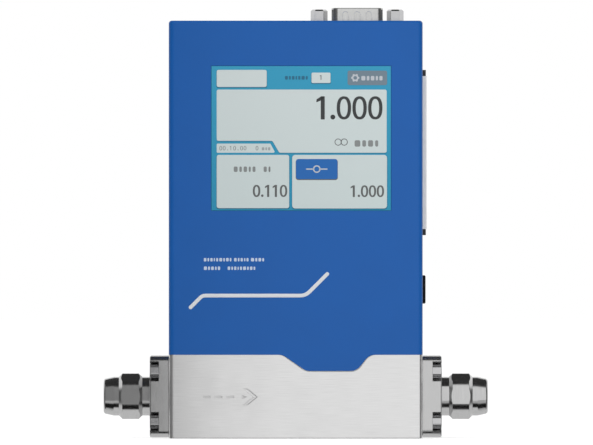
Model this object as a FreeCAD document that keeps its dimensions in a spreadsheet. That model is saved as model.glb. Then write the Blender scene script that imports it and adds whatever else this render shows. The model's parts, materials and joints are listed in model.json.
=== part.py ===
import FreeCAD, Part
import math
import os
import Sketcher

# Gas mass flow meter: a stainless flow block between two compression fittings,
# with a folded sheet cover, a touch screen and a nine-pin connector on top.
# Millimetres. The origin is the middle of the block's bottom face, the screen
# looks along -Y, and gas flows from -X to +X.

doc = FreeCAD.newDocument("gas_mass_flow_meter")
sheet = doc.addObject("Spreadsheet::Sheet", "Sizes")

driving_sizes = {
    # flow block
    "block_width": 83.2,
    "block_depth": 36,
    "block_height": 27.5,
    "block_corner": 1.5,
    "block_edge": 0.4,
    "plinth_height": 6,
    "flow_height": 13.75,
    "bore_radius": 7,
    "outlet_bore_radius": 5.5,
    "base_hole_radius": 1.65,
    "base_hole_depth": 8,
    "base_hole_spacing_x": 50,
    "base_hole_spacing_y": 22,
    "mark_depth": 0.2,
    "mark_line": 0.7,
    "arrow_level": 13.7,
    "dash_start": -30.5,
    "dash_length": 2.5,
    "dash_pitch": 3.9,
    "dash_count": 3,
    "chevron_left": -17.3,
    "chevron_tip": -12.4,
    "chevron_half_height": 2.7,
    "chevron_line": 1.6,
    "pointer_left": -17.6,
    "pointer_length": 1.7,
    "pointer_half_height": 0.6,
    # folded cover and rear panel
    "cover_sheet": 1.5,
    "cover_height": 109.5,
    "cover_bend": 1.8,
    "cover_top_bend": 1,
    "cover_clearance": 0.2,
    "rear_sheet": 1.2,
    "rear_flange": 8,
    "tongue_drop": 5.3,
    "tongue_left_foot": -4.3,
    "tongue_left": 3.4,
    "tongue_right": 19.9,
    "tongue_right_foot": 24.1,
    "tongue_corner": 4,
    "tongue_gap": 0.2,
    "small_screw_radius": 1.25,
    "small_screw_head": 2.35,
    "small_screw_length": 5,
    "small_screw_hex": 1.5,
    "rear_screw_spacing": 60,
    "cover_screw_drop": 12,
    "cover_screw_inset": 5,
    # end flanges
    "flange_thickness": 6.3,
    "flange_depth": 30,
    "flange_height": 26.7,
    "flange_corner": 3,
    "flange_edge": 0.5,
    "spigot_length": 5,
    "spigot_clearance": 0.05,
    "seal_section": 1.5,
    "seal_room": 0.2,
    "flange_screw_radius": 1.5,
    "flange_screw_length": 10,
    "flange_screw_head": 2.75,
    "flange_screw_head_height": 3,
    "flange_screw_hex": 2.5,
    "flange_screw_edge": 0.3,
    "flange_screw_inset": 4,
    "flange_screw_rise": 8.3,
    "screw_pocket_radius": 3.25,
    "screw_pocket_depth": 3,
    "thread_clearance": 0.05,
    "screw_point_room": 1,
    # compression fittings for 6.35 mm tube
    "tube_socket_radius": 3.24,
    "tube_insertion": 15.2,
    "gas_bore_radius": 2.4,
    "stem_radius": 4.8,
    "stem_length": 7,
    "collar_radius": 6.4,
    "collar_length": 2.5,
    "fitting_thread_radius": 5.5,
    "fitting_thread_length": 8,
    "socket_mouth_radius": 4.15,
    "socket_cone_length": 4.1,
    "ferrule_setback": 1.2,
    "ferrule_play": 0.05,
    "front_ferrule_tail": 0.6,
    "back_ferrule_length": 1.4,
    "back_ferrule_taper": 0.45,
    "nut_hex": 14.29,
    "nut_turned_radius": 7.55,
    "nut_hex_length": 7.7,
    "nut_chamfer": 1.15,
    "nut_chamfer_drop": 1.15,
    "nut_nose_length": 5.05,
    "nut_nose_land": 1.7,
    "nut_nose_radius": 6.4,
    "nut_nose_tip_radius": 5.65,
    "nut_nose_round": 0.9,
    "nut_thread_length": 8.6,
    "nut_shoulder_length": 2,
    # laminar element and screen
    "element_length": 16,
    "element_grooves": 16,
    "element_groove_width": 1,
    "element_groove_depth": 2.4,
    "retainer_thickness": 2,
    "retainer_hole": 5.5,
    "retainer_slot": 1.2,
    "screen_disc_radius": 5,
    "screen_disc_thickness": 1,
    # bypass sensor
    "sensor_port_spacing": 24,
    "sensor_port_radius": 0.75,
    "sensor_base_length": 40,
    "sensor_base_depth": 12.4,
    "sensor_base_height": 4,
    "sensor_base_corner": 1.5,
    "sensor_screw_spacing": 34,
    "sensor_seal_radius": 2.2,
    "sensor_seal_thickness": 1,
    "sensor_tube_radius": 0.5,
    "sensor_tube_rise": 7,
    "sensor_tube_bend": 2,
    "winding_radius": 1.2,
    "winding_length": 5,
    "winding_gap": 2,
    "sensor_cover_length": 29,
    "sensor_cover_depth": 10,
    "sensor_cover_height": 13,
    "sensor_cover_wall": 1,
    "flex_width": 10,
    "flex_thickness": 0.3,
    "flex_lap": 6,
    # screen, its middle measured down from the cover's top
    "screen_width": 59.0,
    "screen_height": 47.5,
    "screen_shift": 1.8,
    "screen_middle": 38.55,
    "glass_clearance": 0.1,
    "gasket_thickness": 0.5,
    "gasket_lap": 1,
    "gasket_margin": 1.5,
    "lcd_margin": 1.5,
    "lcd_thickness": 3,
    "board_thickness": 1.6,
    "display_board_margin_x": 6.5,
    "display_board_margin_z": 4,
    "display_hole_inset": 2.5,
    "standoff_radius": 2.1,
    "board_screw_radius": 1,
    "board_screw_head": 1.9,
    "board_screw_head_height": 1.3,
    "board_screw_length": 5,
    "header_width": 20,
    "header_height": 5,
    "header_rise": 78,
    # upright board, its lower spacers measured up from the sensor's cover
    "bracket_clearance": 0.3,
    "bracket_sheet": 1.5,
    "bracket_width": 56,
    "bracket_foot": 9.5,
    "bracket_height": 86,
    "bracket_screw_spacing": 40,
    "bracket_screw_setback": 5.5,
    "spacer_length": 6.5,
    "spacer_radius": 2.5,
    "spacer_spacing_x": 48,
    "spacer_spacing_z": 52,
    "spacer_rise": 11.5,
    "main_board_width": 56,
    "main_board_hole_inset": 7,
    "chip_size": 12,
    "chip_thickness": 1.4,
    "chip_rise": 98,
    "capacitor_radius": 4,
    "capacitor_height": 8,
    "capacitor_spacing": 12,
    "capacitor_rise": 112,
    # nine-pin connector
    "connector_shift": 20.2,
    "connector_width": 16.92,
    "connector_depth": 8.36,
    "connector_slant": 10,
    "connector_corner": 2.6,
    "connector_wall": 0.4,
    "connector_rise": 5.84,
    "connector_rim": 0.3,
    "connector_flange_width": 30.8,
    "connector_flange_depth": 12.5,
    "connector_flange_sheet": 0.8,
    "connector_opening": 0.3,
    "dimple_radius": 0.95,
    "dimple_bite": 0.2,
    "dimple_spacing": 3.85,
    "dimple_drop": 1.2,
    "insulator_width": 19,
    "insulator_depth": 10.7,
    "insulator_height": 6.2,
    "insulator_face": 0.5,
    "pin_radius": 0.5,
    "pin_pitch": 2.77,
    "row_pitch": 2.84,
    "pin_setback": 0.9,
    "connector_board_width": 34,
    "connector_board_depth": 16,
    "jack_spacing": 24.99,
    "jack_hex": 4.8,
    "jack_rise": 3.85,
    "jack_chamfer": 0.5,
    "jack_stud_radius": 1.42,
    "jack_stud_length": 8,
    "jack_thread_radius": 1.2,
    "jack_thread_depth": 3.4,
    "jack_nut_hex": 4.8,
    "jack_nut_thickness": 2,
    # right side
    "plate_width": 22,
    "plate_bottom": 66.7,
    "plate_length": 54.2,
    "plate_thickness": 1.35,
    "plate_edge": 0.3,
    "clip_length": 2,
    "clip_thickness": 1.1,
    "plug_height": 9.3,
    "plug_width": 12,
    "plug_middle": 48.85,
    "plug_head": 1.05,
    "plug_corner": 2,
    "plug_edge": 0.4,
    "plug_stem_inset": 1.35,
    "plug_stem_length": 3.5,
    "plug_hole_clearance": 0.1,
}

for row, (name, number) in enumerate(driving_sizes.items(), 1):
    sheet.set(f"A{row}", name.replace("_", " "))
    sheet.set(f"B{row}", str(number))
    sheet.setAlias(f"B{row}", name)
doc.recompute()


def size(name):
    """one driving size as a number"""
    return float(sheet.get(name))


# Places that several pieces share, as expressions of the sizes
block_end = "Sizes.block_width / 2"
front = "(-Sizes.block_depth / 2)"
back = "(Sizes.block_depth / 2)"
cover_inside = f"({front} + Sizes.cover_sheet)"
plinth_top = "(Sizes.block_height + Sizes.plinth_height)"
plinth_side = "(Sizes.block_width / 2 - Sizes.cover_sheet - Sizes.cover_clearance)"
plinth_front = f"({cover_inside} + Sizes.cover_clearance)"
plinth_back = f"({back} - Sizes.rear_sheet - Sizes.cover_clearance)"
plinth_middle = "(Sizes.block_height + Sizes.plinth_height / 2)"
cover_top = "(Sizes.block_height + Sizes.cover_height)"
cover_ceiling = f"({cover_top} - Sizes.cover_sheet)"
cover_screw_level = f"({cover_top} - Sizes.cover_screw_drop)"
cover_screw_back = f"({back} - Sizes.cover_screw_inset)"
small_tap = "Sizes.small_screw_radius + Sizes.thread_clearance"
board_tap = "Sizes.board_screw_radius + Sizes.thread_clearance"
flange_tap = "Sizes.flange_screw_radius + Sizes.thread_clearance"
bore_fit = "(Sizes.bore_radius - Sizes.spigot_clearance)"
seal_recess = "(Sizes.bore_radius + Sizes.seal_section + Sizes.seal_room)"
flange_screw_reach = "(Sizes.flange_depth / 2 - Sizes.flange_screw_inset)"
screw_seat = "(Sizes.flange_thickness - Sizes.screw_pocket_depth)"
fitting_mouth = "(Sizes.collar_length + Sizes.fitting_thread_length)"
nut_end = "(Sizes.collar_length + Sizes.nut_hex_length + Sizes.nut_nose_length)"
tube_stop = f"({nut_end} - Sizes.tube_insertion)"
sensor_deck = f"({plinth_top} + Sizes.sensor_base_height)"
sensor_roof = f"({sensor_deck} + Sizes.sensor_cover_height)"
screen_level = f"({cover_top} - Sizes.screen_middle)"
lcd_front = f"({cover_inside} + Sizes.gasket_thickness)"
display_board_front = f"({lcd_front} + Sizes.lcd_thickness)"
display_board_back = f"({display_board_front} + Sizes.board_thickness)"
display_board_half_x = "(Sizes.screen_width / 2 + Sizes.display_board_margin_x)"
display_board_half_z = "(Sizes.screen_height / 2 + Sizes.display_board_margin_z)"
bracket_front = "(Sizes.sensor_base_depth / 2 + Sizes.bracket_clearance)"
main_board_back = f"({bracket_front} - Sizes.spacer_length)"
main_board_front = f"({main_board_back} - Sizes.board_thickness)"
lower_spacers = f"({sensor_roof} + Sizes.spacer_rise)"
main_board_bottom = f"({lower_spacers} - Sizes.main_board_hole_inset)"
bracket_screw_back = f"({bracket_front} + Sizes.bracket_screw_setback)"
connector_flange_bottom = f"({cover_ceiling} - Sizes.connector_flange_sheet)"
connector_top = f"({cover_ceiling} + Sizes.connector_rise)"
insulator_bottom = f"({connector_flange_bottom} - Sizes.insulator_height)"
insulator_top = f"({cover_ceiling} + Sizes.insulator_face)"
connector_board_bottom = f"({insulator_bottom} - Sizes.board_thickness)"


# Tools for sketches and features

def new_body(label):
    """an empty sub-part, which may hold several like solids"""
    body = doc.addObject("PartDesign::Body", label)
    body.Label = label
    body.AllowCompound = True
    return body


def place(body, across="0", along="0", up="0", turn=0):
    """put a sub-part at its place, turned about the vertical"""
    turned = FreeCAD.Rotation(FreeCAD.Vector(0, 0, 1), turn)
    body.Placement = FreeCAD.Placement(FreeCAD.Vector(0, 0, 0), turned)
    body.setExpression("Placement.Base.x", across)
    body.setExpression("Placement.Base.y", along)
    body.setExpression("Placement.Base.z", up)


def new_sketch(body, name, plane, at="0"):
    """a sketch parallel to one of the body's own planes, at a distance along its axis"""
    sketch = body.newObject("Sketcher::SketchObject", name)
    support = [feature for feature in body.Origin.OriginFeatures if feature.Role == plane]
    sketch.AttachmentSupport = [(support[0], "")]
    sketch.MapMode = "FlatFace"
    sign = "-1 * " if plane == "XZ_Plane" else ""
    sketch.setExpression("AttachmentOffset.Base.z", f"{sign}({at})")
    return sketch


def hold(sketch, kind, target, start, expression):
    """tie one measure of a point or circle to an expression"""
    constraint = Sketcher.Constraint(kind, *target, start)
    index = sketch.addConstraint(constraint)
    sketch.setExpression(f"Constraints[{index}]", str(expression))


def outline(sketch, corners):
    """a closed outline of straight lines through the given corners"""
    first = sketch.GeometryCount
    count = len(corners)
    ring = []
    for i in range(count):
        angle = 2 * math.pi * i / count
        ring.append(FreeCAD.Vector(10 * math.cos(angle), 10 * math.sin(angle), 0))
    for i in range(count):
        sketch.addGeometry(Part.LineSegment(ring[i], ring[(i + 1) % count]), False)
    for i in range(count):
        following = first + (i + 1) % count
        sketch.addConstraint(Sketcher.Constraint("Coincident", first + i, 2, following, 1))
    for i, (across, up) in enumerate(corners):
        hold(sketch, "DistanceX", (-1, 1, first + i, 1), ring[i].x, across)
        hold(sketch, "DistanceY", (-1, 1, first + i, 1), ring[i].y, up)


def rectangle(sketch, left, right, bottom, top):
    """an upright rectangle between four sides"""
    outline(sketch, [(left, bottom), (right, bottom), (right, top), (left, top)])


def rounded_outline(sketch, centres, radius):
    """a closed outline round four arc centres: left and right front, right and left back"""
    start = [(-10, -5), (10, -5), (10, 5), (-10, 5)]
    upward = FreeCAD.Vector(0, 0, 1)
    quarter = math.pi / 2
    for i, (across, up) in enumerate(start):
        ring = Part.Circle(FreeCAD.Vector(across, up, 0), upward, 2)
        sketch.addGeometry(Part.ArcOfCircle(ring, (i + 2) * quarter, (i + 3) * quarter), False)
    ends = [(-10, -7, 10, -7), (12, -5, 12, 5), (10, 7, -10, 7), (-12, 5, -12, -5)]
    for x1, y1, x2, y2 in ends:
        sketch.addGeometry(Part.LineSegment(FreeCAD.Vector(x1, y1, 0), FreeCAD.Vector(x2, y2, 0)), False)
    joins = []
    for i in range(4):
        joins.append(Sketcher.Constraint("Tangent", i, 2, 4 + i, 1))
        joins.append(Sketcher.Constraint("Tangent", 4 + i, 2, (i + 1) % 4, 1))
    sketch.addConstraint(joins)
    for i, (across, up) in enumerate(centres):
        hold(sketch, "DistanceX", (-1, 1, i, 3), start[i][0], across)
        hold(sketch, "DistanceY", (-1, 1, i, 3), start[i][1], up)
        hold(sketch, "Radius", (i,), 2, radius)


def circle(sketch, across, up, radius):
    """a circle round a point"""
    index = sketch.addGeometry(Part.Circle(FreeCAD.Vector(1, 1, 0), FreeCAD.Vector(0, 0, 1), 1), False)
    hold(sketch, "DistanceX", (-1, 1, index, 3), 1, across)
    hold(sketch, "DistanceY", (-1, 1, index, 3), 1, up)
    hold(sketch, "Radius", (index,), 1, radius)


def hexagon(sketch, across, up, flats, first_corner=30):
    """a hexagon of a width across flats, its first corner at an angle"""
    corners = []
    reach = f"{flats} / sqrt(3)"
    for i in range(6):
        angle = first_corner + 60 * i
        corners.append((f"{across} + {reach} * cos({angle} deg)", f"{up} + {reach} * sin({angle} deg)"))
    outline(sketch, corners)


def pad(body, sketch, length, reverse=False, taper=0):
    """a sketch given a thickness"""
    feature = body.newObject("PartDesign::Pad", "Pad")
    feature.Profile = sketch
    feature.setExpression("Length", length)
    feature.Reversed = reverse
    feature.TaperAngle = taper
    doc.recompute()
    return feature


def pocket(body, sketch, depth, reverse=False, taper=0):
    """a sketch cut into the solid"""
    before = body.Shape.Volume
    feature = body.newObject("PartDesign::Pocket", "Pocket")
    feature.Profile = sketch
    feature.setExpression("Length", depth)
    feature.Reversed = reverse
    feature.TaperAngle = taper
    doc.recompute()
    if before - body.Shape.Volume < 1e-6:
        raise ValueError(f"{body.Label}: {sketch.Label} cuts nothing")
    return feature


def turn(body, corners, name="profile"):
    """a turned solid: corners are distances along X and radii"""
    sketch = new_sketch(body, name, "XZ_Plane")
    outline(sketch, corners)
    feature = body.newObject("PartDesign::Revolution", "Turned")
    feature.Profile = sketch
    feature.ReferenceAxis = (sketch, ["H_Axis"])
    feature.Angle = 360
    doc.recompute()
    return feature


def bore(body, corners, name="bore", height="0"):
    """a turned hole along X, at a height"""
    before = body.Shape.Volume
    sketch = new_sketch(body, name, "XZ_Plane")
    sketch.setExpression("AttachmentOffset.Base.y", height)
    outline(sketch, corners)
    feature = body.newObject("PartDesign::Groove", "Groove")
    feature.Profile = sketch
    feature.ReferenceAxis = (sketch, ["H_Axis"])
    feature.Angle = 360
    doc.recompute()
    if before - body.Shape.Volume < 1e-6:
        raise ValueError(f"{body.Label}: {name} cuts nothing")
    return feature


def near(first, second):
    """two lengths that are the same"""
    return abs(first - second) < 0.01


def runs_along(edge, axis):
    """a straight edge parallel to one axis"""
    box = edge.BoundBox
    lengths = {"X": box.XLength, "Y": box.YLength, "Z": box.ZLength}
    along = lengths.pop(axis)
    return along > 0.01 and max(lengths.values()) < 0.001


def edge_names(shape, chosen):
    """names of a solid's edges that a test picks"""
    return [f"Edge{i}" for i, edge in enumerate(shape.Edges, 1) if chosen(edge)]


def fillet(body, radius, chosen):
    """round the edges that a test picks"""
    base = body.Tip
    feature = body.newObject("PartDesign::Fillet", "Fillet")
    feature.Base = (base, edge_names(base.Shape, chosen))
    feature.setExpression("Radius", radius)
    doc.recompute()
    return feature


def chamfer(body, width, chosen):
    """bevel the edges that a test picks"""
    base = body.Tip
    feature = body.newObject("PartDesign::Chamfer", "Chamfer")
    feature.Base = (base, edge_names(base.Shape, chosen))
    feature.setExpression("Size", width)
    doc.recompute()
    return feature


def countersunk_hole(body, name, plane, at, centres, depth, reverse=False):
    """small screw holes with a 90 degree sink at the surface"""
    sketch = new_sketch(body, name, plane, at)
    for across, up in centres:
        circle(sketch, across, up, "Sizes.small_screw_head")
    pocket(body, sketch, "Sizes.small_screw_head - Sizes.small_screw_radius", reverse, -45)
    sketch = new_sketch(body, name, plane, at)
    for across, up in centres:
        circle(sketch, across, up, small_tap)
    pocket(body, sketch, depth, reverse)


def countersunk_screws(body, plane, at, centres, reverse):
    """small flat head screws in line with the surface that they sit in"""
    head = new_sketch(body, "head", plane, at)
    for across, up in centres:
        circle(head, across, up, "Sizes.small_screw_head - Sizes.thread_clearance")
    pad(body, head, "Sizes.small_screw_head - Sizes.small_screw_radius", reverse, -45)
    shank = new_sketch(body, "shank", plane, at)
    for across, up in centres:
        circle(shank, across, up, "Sizes.small_screw_radius - Sizes.thread_clearance")
    pad(body, shank, "Sizes.small_screw_length", reverse)
    drive = new_sketch(body, "drive", plane, at)
    for across, up in centres:
        hexagon(drive, across, up, "Sizes.small_screw_hex")
    pocket(body, drive, "Sizes.small_screw_hex / 2", not reverse)


def four(half_across, half_up, middle_across="0", middle_up="0"):
    """four places about a middle"""
    places = []
    for left in ("-", "+"):
        for low in ("-", "+"):
            places.append((f"{middle_across} {left} {half_across}", f"{middle_up} {low} {half_up}"))
    return places


# Flow block

def tongue_corners(gap):
    """the cover's tongue, as a shape in the front wall, with a gap all round"""
    low = f"Sizes.block_height - Sizes.tongue_drop - {gap}"
    high = "Sizes.block_height + Sizes.cover_sheet"
    return [
        (f"Sizes.tongue_left_foot - {gap}", "Sizes.block_height"),
        (f"Sizes.tongue_left - {gap}", low),
        (f"Sizes.tongue_right + {gap}", low),
        (f"Sizes.tongue_right_foot + {gap}", "Sizes.block_height"),
        (f"Sizes.tongue_right_foot + {gap}", high),
        (f"Sizes.tongue_left_foot - {gap}", high),
    ]


def round_tongue(body, gap, radius):
    """round the four corners of the tongue's outline in the front wall"""
    top = size("block_height")
    low = top - size("tongue_drop") - gap
    corners = [
        (size("tongue_left_foot") - gap, top),
        (size("tongue_left") - gap, low),
        (size("tongue_right") + gap, low),
        (size("tongue_right_foot") + gap, top),
    ]

    def is_corner(edge):
        middle = edge.BoundBox.Center
        beside = any(near(middle.x, x) and near(middle.z, z) for x, z in corners)
        return beside and middle.y < 0 and runs_along(edge, "Y")

    fillet(body, radius, is_corner)


def tap_block_ends(body):
    """tapped holes for the flange screws in both end faces"""
    depth = f"Sizes.flange_screw_length - {screw_seat} + Sizes.screw_point_room"
    for side in (-1, 1):
        sketch = new_sketch(body, "end_holes", "YZ_Plane", f"{side} * {block_end}")
        for across, up in four(flange_screw_reach, "Sizes.flange_screw_rise", "0", "Sizes.flow_height"):
            circle(sketch, across, up, flange_tap)
        pocket(body, sketch, depth, side < 0)


def engrave_arrow(body):
    """the flow arrow: plain dashes, a chevron and a small pointer inside it, cut into the front"""
    sketch = new_sketch(body, "arrow", "XZ_Plane", front)
    middle = "Sizes.arrow_level"
    half_line = "Sizes.mark_line / 2"
    for i in range(round(size("dash_count"))):
        left = f"Sizes.dash_start + {i} * Sizes.dash_pitch"
        right = f"{left} + Sizes.dash_length"
        rectangle(sketch, left, right, f"{middle} - {half_line}", f"{middle} + {half_line}")
    upper = f"{middle} + Sizes.chevron_half_height"
    lower = f"{middle} - Sizes.chevron_half_height"
    outline(sketch, [
        ("Sizes.chevron_left", upper),
        ("Sizes.chevron_left + Sizes.chevron_line", upper),
        ("Sizes.chevron_tip", middle),
        ("Sizes.chevron_left + Sizes.chevron_line", lower),
        ("Sizes.chevron_left", lower),
        ("Sizes.chevron_tip - Sizes.chevron_line", middle),
    ])
    outline(sketch, [
        ("Sizes.pointer_left", f"{middle} + Sizes.pointer_half_height"),
        ("Sizes.pointer_left + Sizes.pointer_length", middle),
        ("Sizes.pointer_left", f"{middle} - Sizes.pointer_half_height"),
    ])
    pocket(body, sketch, "Sizes.mark_depth")


def make_flow_body():
    """the steel block: gas bore, plinth for the cover and recess for its tongue"""
    body = new_body("flow_body")
    foot = new_sketch(body, "foot", "XY_Plane")
    rectangle(foot, f"-{block_end}", block_end, front, back)
    pad(body, foot, "Sizes.block_height")
    fillet(body, "Sizes.block_corner", lambda edge: runs_along(edge, "Z"))
    fillet(body, "Sizes.block_edge", lambda edge: near(edge.BoundBox.ZMax, 0))
    plinth = new_sketch(body, "plinth", "XY_Plane", "Sizes.block_height")
    rectangle(plinth, f"-1 * {plinth_side}", plinth_side, plinth_front, plinth_back)
    pad(body, plinth, "Sizes.plinth_height")

    recess = new_sketch(body, "tongue_recess", "XZ_Plane", front)
    outline(recess, tongue_corners("Sizes.tongue_gap"))
    pocket(body, recess, "Sizes.cover_sheet + Sizes.cover_clearance")
    round_tongue(body, size("tongue_gap"), "Sizes.tongue_corner")

    inlet_end = f"-{block_end}"
    seat = "Sizes.spigot_length + Sizes.spigot_clearance"
    bore(body, [
        (inlet_end, "0"),
        (inlet_end, seal_recess),
        (f"{inlet_end} + Sizes.seal_section", seal_recess),
        (f"{inlet_end} + Sizes.seal_section", "Sizes.bore_radius"),
        ("Sizes.element_length / 2", "Sizes.bore_radius"),
        ("Sizes.element_length / 2", "Sizes.outlet_bore_radius"),
        (f"{block_end} - ({seat})", "Sizes.outlet_bore_radius"),
        (f"{block_end} - ({seat})", "Sizes.bore_radius"),
        (f"{block_end} - Sizes.seal_section", "Sizes.bore_radius"),
        (f"{block_end} - Sizes.seal_section", seal_recess),
        (block_end, seal_recess),
        (block_end, "0"),
    ], "gas_bore", "Sizes.flow_height")
    tap_block_ends(body)

    ports = new_sketch(body, "sensor_ports", "XY_Plane", plinth_top)
    for side in ("-", "+"):
        circle(ports, f"0 {side} Sizes.sensor_port_spacing / 2", "0", "Sizes.sensor_port_radius")
    pocket(body, ports, f"{plinth_top} - Sizes.flow_height")

    deck = new_sketch(body, "deck_holes", "XY_Plane", plinth_top)
    for side in ("-", "+"):
        circle(deck, f"0 {side} Sizes.sensor_screw_spacing / 2", "0", board_tap)
        circle(deck, f"0 {side} Sizes.bracket_screw_spacing / 2", bracket_screw_back, board_tap)
    pocket(body, deck, "Sizes.board_screw_length + Sizes.screw_point_room")

    base_holes = new_sketch(body, "base_holes", "XY_Plane")
    for across, up in four("Sizes.base_hole_spacing_x / 2", "Sizes.base_hole_spacing_y / 2"):
        circle(base_holes, across, up, "Sizes.base_hole_radius")
    pocket(body, base_holes, "Sizes.base_hole_depth", True)

    for side in (-1, 1):
        taps = new_sketch(body, "side_taps", "YZ_Plane", f"{side} * {plinth_side}")
        circle(taps, "0", plinth_middle, small_tap)
        pocket(body, taps, "Sizes.small_screw_length + Sizes.screw_point_room", side < 0)
    rear_taps = new_sketch(body, "rear_taps", "XZ_Plane", plinth_back)
    for side in ("-", "+"):
        circle(rear_taps, f"0 {side} Sizes.rear_screw_spacing / 2", plinth_middle, small_tap)
    pocket(body, rear_taps, "Sizes.small_screw_length + Sizes.screw_point_room", True)
    engrave_arrow(body)
    return body


# End flanges, one turned round for the inlet

def at_end(body, side, outward="0"):
    """put a sub-part that points along +X on the inlet (-1) or outlet (1) end"""
    turned = 180 if side < 0 else 0
    place(body, f"{side} * ({block_end} + {outward})", "0", "Sizes.flow_height", turned)
    return body


flange_screw_places = four(flange_screw_reach, "Sizes.flange_screw_rise")


def make_adapter(label, side):
    """end flange with a spigot into the bore and a port for the fitting"""
    body = new_body(label)
    plate = new_sketch(body, "plate", "YZ_Plane")
    half_depth = "Sizes.flange_depth / 2"
    half_height = "Sizes.flange_height / 2"
    rectangle(plate, f"-{half_depth}", half_depth, f"-{half_height}", half_height)
    pad(body, plate, "Sizes.flange_thickness")
    fillet(body, "Sizes.flange_corner", lambda edge: runs_along(edge, "X"))
    face = size("flange_thickness")
    fillet(body, "Sizes.flange_edge", lambda edge: near(edge.BoundBox.XMin, face))

    spigot = new_sketch(body, "spigot", "YZ_Plane")
    circle(spigot, "0", "0", bore_fit)
    pad(body, spigot, "Sizes.spigot_length", True)
    port = "(Sizes.stem_radius + Sizes.thread_clearance)"
    port_floor = "(Sizes.flange_thickness - Sizes.stem_length - Sizes.seal_room)"
    corners = [
        ("Sizes.flange_thickness", "0"),
        ("Sizes.flange_thickness", port),
        (port_floor, port),
        (port_floor, "Sizes.gas_bore_radius"),
    ]
    if side < 0:
        disc_top = "-Sizes.spigot_length + Sizes.screen_disc_thickness"
        corners.append((disc_top, "Sizes.gas_bore_radius"))
        corners.append((disc_top, "Sizes.screen_disc_radius"))
        corners.append(("-Sizes.spigot_length", "Sizes.screen_disc_radius"))
    else:
        corners.append(("-Sizes.spigot_length", "Sizes.gas_bore_radius"))
    corners.append(("-Sizes.spigot_length", "0"))
    bore(body, corners)

    pockets = new_sketch(body, "screw_pockets", "YZ_Plane", "Sizes.flange_thickness")
    slots = new_sketch(body, "pocket_slots", "YZ_Plane", "Sizes.flange_thickness")
    holes = new_sketch(body, "screw_holes", "YZ_Plane", "Sizes.flange_thickness")
    for across, up in flange_screw_places:
        circle(pockets, across, up, "Sizes.screw_pocket_radius")
        circle(holes, across, up, flange_tap)
    for row in (-1, 1):
        low = f"{row} * Sizes.flange_screw_rise - Sizes.screw_pocket_radius"
        high = f"{row} * Sizes.flange_screw_rise + Sizes.screw_pocket_radius"
        for edge in (-1, 1):
            rectangle(slots, f"{edge} * {flange_screw_reach}", f"{edge} * Sizes.flange_depth", low, high)
    pocket(body, pockets, "Sizes.screw_pocket_depth")
    pocket(body, slots, "Sizes.screw_pocket_depth")
    pocket(body, holes, "Sizes.flange_thickness")
    return at_end(body, side)


def make_adapter_seal(label, side):
    """O-ring round the spigot, between flange and block"""
    ring = doc.addObject("Part::Torus", label)
    ring.Label = label
    ring.setExpression("Radius1", "Sizes.bore_radius + Sizes.seal_section / 2")
    ring.setExpression("Radius2", "Sizes.seal_section / 2")
    upright = FreeCAD.Rotation(FreeCAD.Vector(0, 1, 0), 90)
    ring.Placement = FreeCAD.Placement(FreeCAD.Vector(0, 0, 0), upright)
    ring.setExpression("Placement.Base.x", f"{side} * ({block_end} - Sizes.seal_section / 2)")
    ring.setExpression("Placement.Base.z", "Sizes.flow_height")
    return ring


def make_adapter_screws(label, side):
    """four socket head screws that hold a flange to the block"""
    body = new_body(label)
    heads = new_sketch(body, "heads", "YZ_Plane", screw_seat)
    shanks = new_sketch(body, "shanks", "YZ_Plane", screw_seat)
    head_top = f"{screw_seat} + Sizes.flange_screw_head_height"
    sockets = new_sketch(body, "sockets", "YZ_Plane", head_top)
    for across, up in flange_screw_places:
        circle(heads, across, up, "Sizes.flange_screw_head")
        circle(shanks, across, up, "Sizes.flange_screw_radius")
        hexagon(sockets, across, up, "Sizes.flange_screw_hex")
    pad(body, heads, "Sizes.flange_screw_head_height")
    face = size("flange_thickness") - size("screw_pocket_depth") + size("flange_screw_head_height")
    fillet(body, "Sizes.flange_screw_edge", lambda edge: near(edge.BoundBox.XMin, face))
    pad(body, shanks, "Sizes.flange_screw_length", True)
    pocket(body, sockets, "Sizes.flange_screw_head_height / 2")
    return at_end(body, side)


# Compression fittings: body, two ferrules and nut on each end

cone_slope = "(Sizes.socket_mouth_radius - Sizes.tube_socket_radius) / Sizes.socket_cone_length"


def make_fitting(label, side):
    """fitting body: stem in the flange, collar, thread and cone for the tube"""
    body = new_body(label)
    turn(body, [
        ("-Sizes.stem_length", "Sizes.gas_bore_radius"),
        ("-Sizes.stem_length", "Sizes.stem_radius"),
        ("0", "Sizes.stem_radius"),
        ("0", "Sizes.collar_radius"),
        ("Sizes.collar_length", "Sizes.collar_radius"),
        ("Sizes.collar_length", "Sizes.fitting_thread_radius"),
        (fitting_mouth, "Sizes.fitting_thread_radius"),
        (fitting_mouth, "Sizes.socket_mouth_radius"),
        (f"{fitting_mouth} - Sizes.socket_cone_length", "Sizes.tube_socket_radius"),
        (tube_stop, "Sizes.tube_socket_radius"),
        (tube_stop, "Sizes.gas_bore_radius"),
    ])
    return at_end(body, side, "Sizes.flange_thickness")


def make_front_ferrule(label, side):
    """tapered ring that the nut presses into the fitting's cone"""
    body = new_body(label)
    start = f"({fitting_mouth} - Sizes.socket_cone_length + Sizes.ferrule_setback)"
    thin = f"Sizes.tube_socket_radius + {cone_slope} * Sizes.ferrule_setback - Sizes.ferrule_play"
    wide = "Sizes.socket_mouth_radius - Sizes.ferrule_play"
    turn(body, [
        (start, "Sizes.tube_socket_radius"),
        (start, thin),
        (fitting_mouth, wide),
        (f"{fitting_mouth} + Sizes.front_ferrule_tail", wide),
        (f"{fitting_mouth} + Sizes.front_ferrule_tail", "Sizes.tube_socket_radius"),
    ])
    return at_end(body, side, "Sizes.flange_thickness")


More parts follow.
